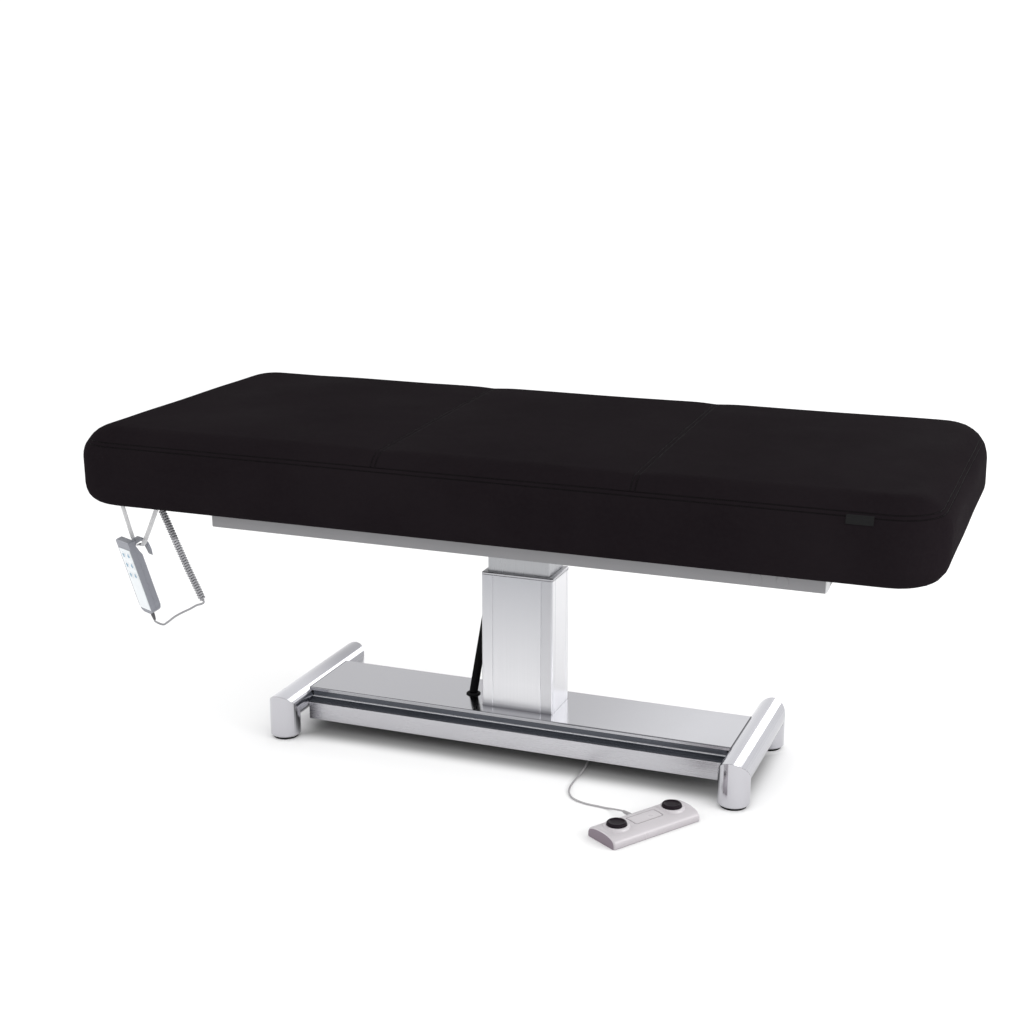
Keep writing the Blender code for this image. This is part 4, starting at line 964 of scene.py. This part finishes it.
# ================================================================ foot control
FOOT_HALF, FOOT_WIDTH, FOOT_HEIGHT = 0.116, 0.088, 0.0275
FOOT_ROUND, FOOT_SKIRT, ARCH_POWER = 0.0045, 0.0030, 0.55   # end rounding, upright foot, fullness of the arch
FOOT_GRID = 0.0022
BUTTON_OFFSET, BUTTON_TOP = 0.0745, 0.0368
PANEL_X, PANEL_Y, PANEL_CORNER = 0.0370, 0.0170, 0.0045
GROOVE_DEPTH, GROOVE_WIDTH = 0.0012, 0.0007                  # of the line round the panel
GROOVE_GRID = (-0.0012, -0.0006, 0.0, 0.0006, 0.0012)        # grid lines across it
# the well round a button leaves room under its cap for the 3 mm press
WELL_RADIUS, WELL_FLOOR = 0.0245, 0.0158


def foot_shell():
    """Smooth moulded shell: arched section, soft ends, a grooved blank panel and a well under each button."""
    fine = [side * (PANEL_X + d) for side in (-1, 1) for d in GROOVE_GRID]
    soft = [FOOT_HALF - FOOT_ROUND * (1 - sin(pi / 2 * k / 5)) for k in range(6)]
    plain = [FOOT_GRID * k for k in range(-50, 51) if all(abs(FOOT_GRID * k - f) > 0.0009 for f in fine)]
    xs = sorted([-x for x in soft] + soft + fine + plain)
    angles = sorted({radians(3.0 * k) for k in range(1, 60)} | {radians(1.0), radians(179.0)}
                    | {pi / 2 + side * asin((PANEL_Y + d) / (FOOT_WIDTH / 2)) for side in (-1, 1)
                       for d in GROOVE_GRID})
    bm = bmesh.new()
    rings, panel_groove_shade = [], []
    for x in xs:
        over = max(0.0, abs(x) - (FOOT_HALF - FOOT_ROUND))
        inset = FOOT_ROUND - max(0.0, FOOT_ROUND ** 2 - over ** 2) ** 0.5
        half, height = FOOT_WIDTH / 2 - inset, FOOT_HEIGHT - inset
        skirt = [(x, half - 0.0025, 0.0003), (x, half - 0.0008, 0.0009), (x, half, FOOT_SKIRT)]
        ring = list(skirt)
        panel_groove_shade += [0.0] * len(skirt)
        for angle in angles:
            y, z = half * cos(angle), FOOT_SKIRT + (height - FOOT_SKIRT) * sin(angle) ** ARCH_POWER
            dx, dy = abs(x) - (PANEL_X - PANEL_CORNER), abs(y) - (PANEL_Y - PANEL_CORNER)
            outside = (max(dx, 0.0) ** 2 + max(dy, 0.0) ** 2) ** 0.5 + min(max(dx, dy), 0.0) - PANEL_CORNER
            groove = exp(-(outside / GROOVE_WIDTH) ** 2)
            z -= GROOVE_DEPTH * groove
            panel_groove_shade.append(groove)
            if min((x - side * BUTTON_OFFSET) ** 2 + y * y for side in (-1, 1)) ** 0.5 < WELL_RADIUS:
                z = WELL_FLOOR
            ring.append((x, y, z))
        ring += [(x, -y, z) for _, y, z in reversed(skirt)]
        panel_groove_shade += [0.0] * len(skirt)
        rings.append([FOOT @ Vector(point) for point in ring])
    loft(bm, rings)
    # faces at the left end take the darker plastic: painted shade on the side away from the light
    left_end = FOOT.to_3x3() @ Vector((-1.0, 0.0, 0.0))
    bmesh.ops.recalc_face_normals(bm, faces=bm.faces)
    for face in bm.faces:
        if face.normal.dot(left_end) > 0.96:
            face.material_index = 1
    mesh = finish_mesh("foot_control_shell", bm, 50.0)
    # the groove attribute carries the painted shade for the groove round the panel
    mesh.attributes.new("groove", "FLOAT", "POINT").data.foreach_set("value", panel_groove_shade)
    made = new_object("foot_control_shell", mesh, "root", (FOOT_PLASTIC, SHADED_END_PLASTIC))
    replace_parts(made, "foot_control_body")

    # raised rings round the buttons
    bm = bmesh.new()
    profile = [(0.0214, 0.0200), (0.0214, 0.0300), (0.0219, 0.0306), (0.0243, 0.0306), (0.0252, 0.0301),
               (0.0262, 0.0288), (0.0282, 0.0262), (0.0282, 0.0200)]
    for side in (-1, 1):
        place = FOOT @ Matrix.Translation((side * BUTTON_OFFSET, 0.0, 0.0))
        bridge(bm, [[bm.verts.new(point) for point in ring] for ring in turned(profile, 56, place)], closed=True)
    solid("foot_button_seats", bm, "root", FOOT_PLASTIC, 40.0)

    # buttons: a rolled rim round a shallow dish
    profile = [(0.0205, -0.0168), (0.0210, -0.0160), (0.0210, -0.0034), (0.0206, -0.0018), (0.0196, -0.0007),
               (0.0182, -0.0001), (0.0170, 0.0), (0.0160, -0.0003), (0.0150, -0.0010), (0.0142, -0.0014),
               (0.0080, -0.0017), (0.0010, -0.0018)]
    for name, side in (("foot_button_left", -1), ("foot_button_right", 1)):
        bm = bmesh.new()
        loft(bm, turned(profile, 56, FOOT @ Matrix.Translation((side * BUTTON_OFFSET, 0.0, BUTTON_TOP))))
        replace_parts(solid(name + "_cap", bm, name, GLOSS_BLACK, 60.0), name)

    # ribbed strain relief at the back
    profile = [(0.0046, 0.0440), (0.0046, 0.0495)]
    for k in range(5):
        low = 0.0495 + 0.0036 * k
        radius = 0.0044 - 0.0003 * k
        profile += [(radius - 0.0007, low + 0.0003), (radius - 0.0007, low + 0.0013), (radius, low + 0.0016),
                    (radius, low + 0.0033)]
    profile += [(0.0026, 0.0683)]
    bm = bmesh.new()
    backwards = FOOT @ Matrix.Translation((0.0, 0.0, 0.0125)) @ Matrix.Rotation(radians(-90), 4, "X")
    loft(bm, turned(profile, 28, backwards))
    relief = solid("foot_strain_relief", bm, "root", WHITE_CORD, 40.0)
    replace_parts(relief, "foot_control_gland")


foot_shell()


# ================================================================ sleeve, strap, key marks and rail caps
SLEEVE_ROUTE = [(-0.1320, 0.0040, 0.1025), (-0.1282, 0.0167, 0.150), (-0.1233, 0.0327, 0.210),
                (-0.1177, 0.0513, 0.280), (-0.1120, 0.0700, 0.350), (-0.1090, 0.0840, 0.430),
                (-0.1085, 0.0900, 0.500), (-0.1085, 0.0910, 0.5570)]
SLEEVE_RADIUS = 0.0099
STRAP_WIDTH, STRAP_THICK = 0.0108, 0.0012
STRAP_LOW = (0.0, 0.0385, -0.0263)                # under the hook, in the handset's frame
STRAP_TOP_X, STRAP_TOP_Z = (-0.8495, -0.7510), 0.5880
STRAP_TURN = 0.024                                # from its lowest point to where it no longer twists
KEY_ROWS, KEY_COLUMNS = (-0.036, -0.062, -0.088), (-0.0105, 0.0105)
MARK_FACES = (-0.00152, -0.00166)                 # back and front of a mark, in the handset's frame
RAIL_Y, RAIL_Z, RAIL_ENDS = 0.350, 0.57295, ((0.7473, 1), (-0.5903, -1))
RAIL_WIDTH, RAIL_HEIGHT = 0.040, 0.0307


def sleeve():
    """Braided cable sleeve: a tube along its route from the base up to the top."""
    bm = bmesh.new()
    tube_mesh(bm, smooth_points(world_route(SLEEVE_ROUTE), 0.006), SLEEVE_RADIUS, 28)
    made = solid("braided_sleeve", bm, "root", BRAID)
    made.parent = None
    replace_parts(made, "cable_sleeve")
    Vector(SLEEVE_ROUTE[0]) + SHIFT
    Vector(SLEEVE_ROUTE[-1]) + SHIFT
    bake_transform(made)


def strap():
    """Flat web in a V from two anchors: its legs show their broad side, and it turns edge-on under the hook."""
    crotch = HANDSET @ Vector(STRAP_LOW)
    left, right = (x + SHIFT.x for x in STRAP_TOP_X)
    y, top = crotch.y, STRAP_TOP_Z
    route = [(left, y, top), (left + 0.004, y, top - 0.012), crotch + Vector((-0.0125, 0.0, 0.003)), crotch,
             crotch + Vector((0.0125, 0.0, 0.003)), (right - 0.003, y, top - 0.012), (right, y, top)]
    points = smooth_points(route, 0.0012)
    bm = bmesh.new()
    rings = []
    for k, point in enumerate(points):
        ahead = (points[min(k + 1, len(points) - 1)] - points[max(k - 1, 0)]).normalized()
        edge_on = max(0.0, 1.0 - (point - crotch).length / STRAP_TURN)
        edge_on = edge_on * edge_on * (3 - 2 * edge_on)
        flat = Vector((0.0, 1.0, 0.0)).cross(ahead).normalized()
        angle = radians(90.0 * edge_on)
        across = flat * cos(angle) + Vector((0.0, 1.0, 0.0)) * sin(angle)
        thick = ahead.cross(across).normalized()
        rings.append([point + across * (a * STRAP_WIDTH / 2) + thick * (b * STRAP_THICK / 2) for a, b in
                      ((-1.0, -0.5), (-0.85, -1.0), (0.85, -1.0), (1.0, -0.5), (1.0, 0.5), (0.85, 1.0),
                       (-0.85, 1.0), (-1.0, 0.5))])
    loft(bm, rings)
    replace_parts(solid("woven_strap", bm, "top", WEBBING, 50.0), "handset_strap")


def key_marks():
    """Plain arrow marks printed on the keys; no characters."""
    arrow = [(-0.0054, -0.0006), (0.0, 0.0054), (0.0054, -0.0006), (0.0024, -0.0006), (0.0024, -0.0056),
             (-0.0024, -0.0056), (-0.0024, -0.0006)]
    for number, (z, x) in enumerate(((z, x) for z in KEY_ROWS for x in KEY_COLUMNS), 1):
        up = 1 if x < 0 else -1
        bm = bmesh.new()
        loft(bm, [[HANDSET @ Vector((x + a, y, z + up * b)) for a, b in arrow] for y in MARK_FACES])
        solid(f"key_mark_{number}", bm, f"key_{number}", ICON)


def rail_caps():
    """Pale moulded caps that close both ends of the two deck rails."""
    bm = bmesh.new()
    for y in (-RAIL_Y, RAIL_Y):
        for x, way in RAIL_ENDS:
            rings = []
            for out, shrink in ((0.0, 0.0), (0.0012, 0.0), (0.0018, 0.0006)):
                outline = rounded_outline(RAIL_WIDTH - 2 * shrink, RAIL_HEIGHT - 2 * shrink, 0.0030 - shrink)
                rings.append([Vector((x + way * out, y + a, RAIL_Z + b)) + SHIFT for a, b in outline])
            loft(bm, rings)
    solid("rail_end_caps", bm, "top", END_CAP)


sleeve()
strap()
key_marks()
rail_caps()


# ================================================================ carried-over CAD nodes
def carry_over():
    """Every CAD node gets its procedural finish; the visible sharp ones get a small edge break."""
    by_node = {part["node"]: part["material_slot"] for part in frame["record"]["subparts"]}
    bevels = {"base_front_rail": 0.0006, "base_top_plate": 0.0006, "deck_rail_front": 0.0012,
              "deck_rail_rear": 0.0012, "column_head_plate": 0.0010, "deck_cross_channel": 0.0010,
              "deck_end_member_left": 0.0010, "deck_end_member_right": 0.0010,
              "handset_front": 0.0012, "handset_back": 0.0016, "handset_membrane": 0.0003}
    finishes = {"column_mid_tube": INNER, "column_inner_tube": INNER, "column_outer_tube": COLUMN_SKIN,
                "foot_bar_left": BAR_LEFT_STEEL, "foot_bar_right": BAR_RIGHT_STEEL,
                "base_top_plate": PLATE_STEEL, "base_front_rail": FASCIA_STEEL, "handset_cord_relief": DARK_GREY}
    for name, node in NODES.items():
        finish = finishes.get(name, FINISHES[by_node[name]])
        node.data.materials.clear()
        node.data.materials.append(finish)
        if name in bevels:
            bevel = node.modifiers.new("edge", "BEVEL")
            bevel.width = bevels[name]
            bevel.segments = 3
            bevel.limit_method = "ANGLE"
            bevel.angle_limit = radians(40)
            bevel.harden_normals = False


carry_over()
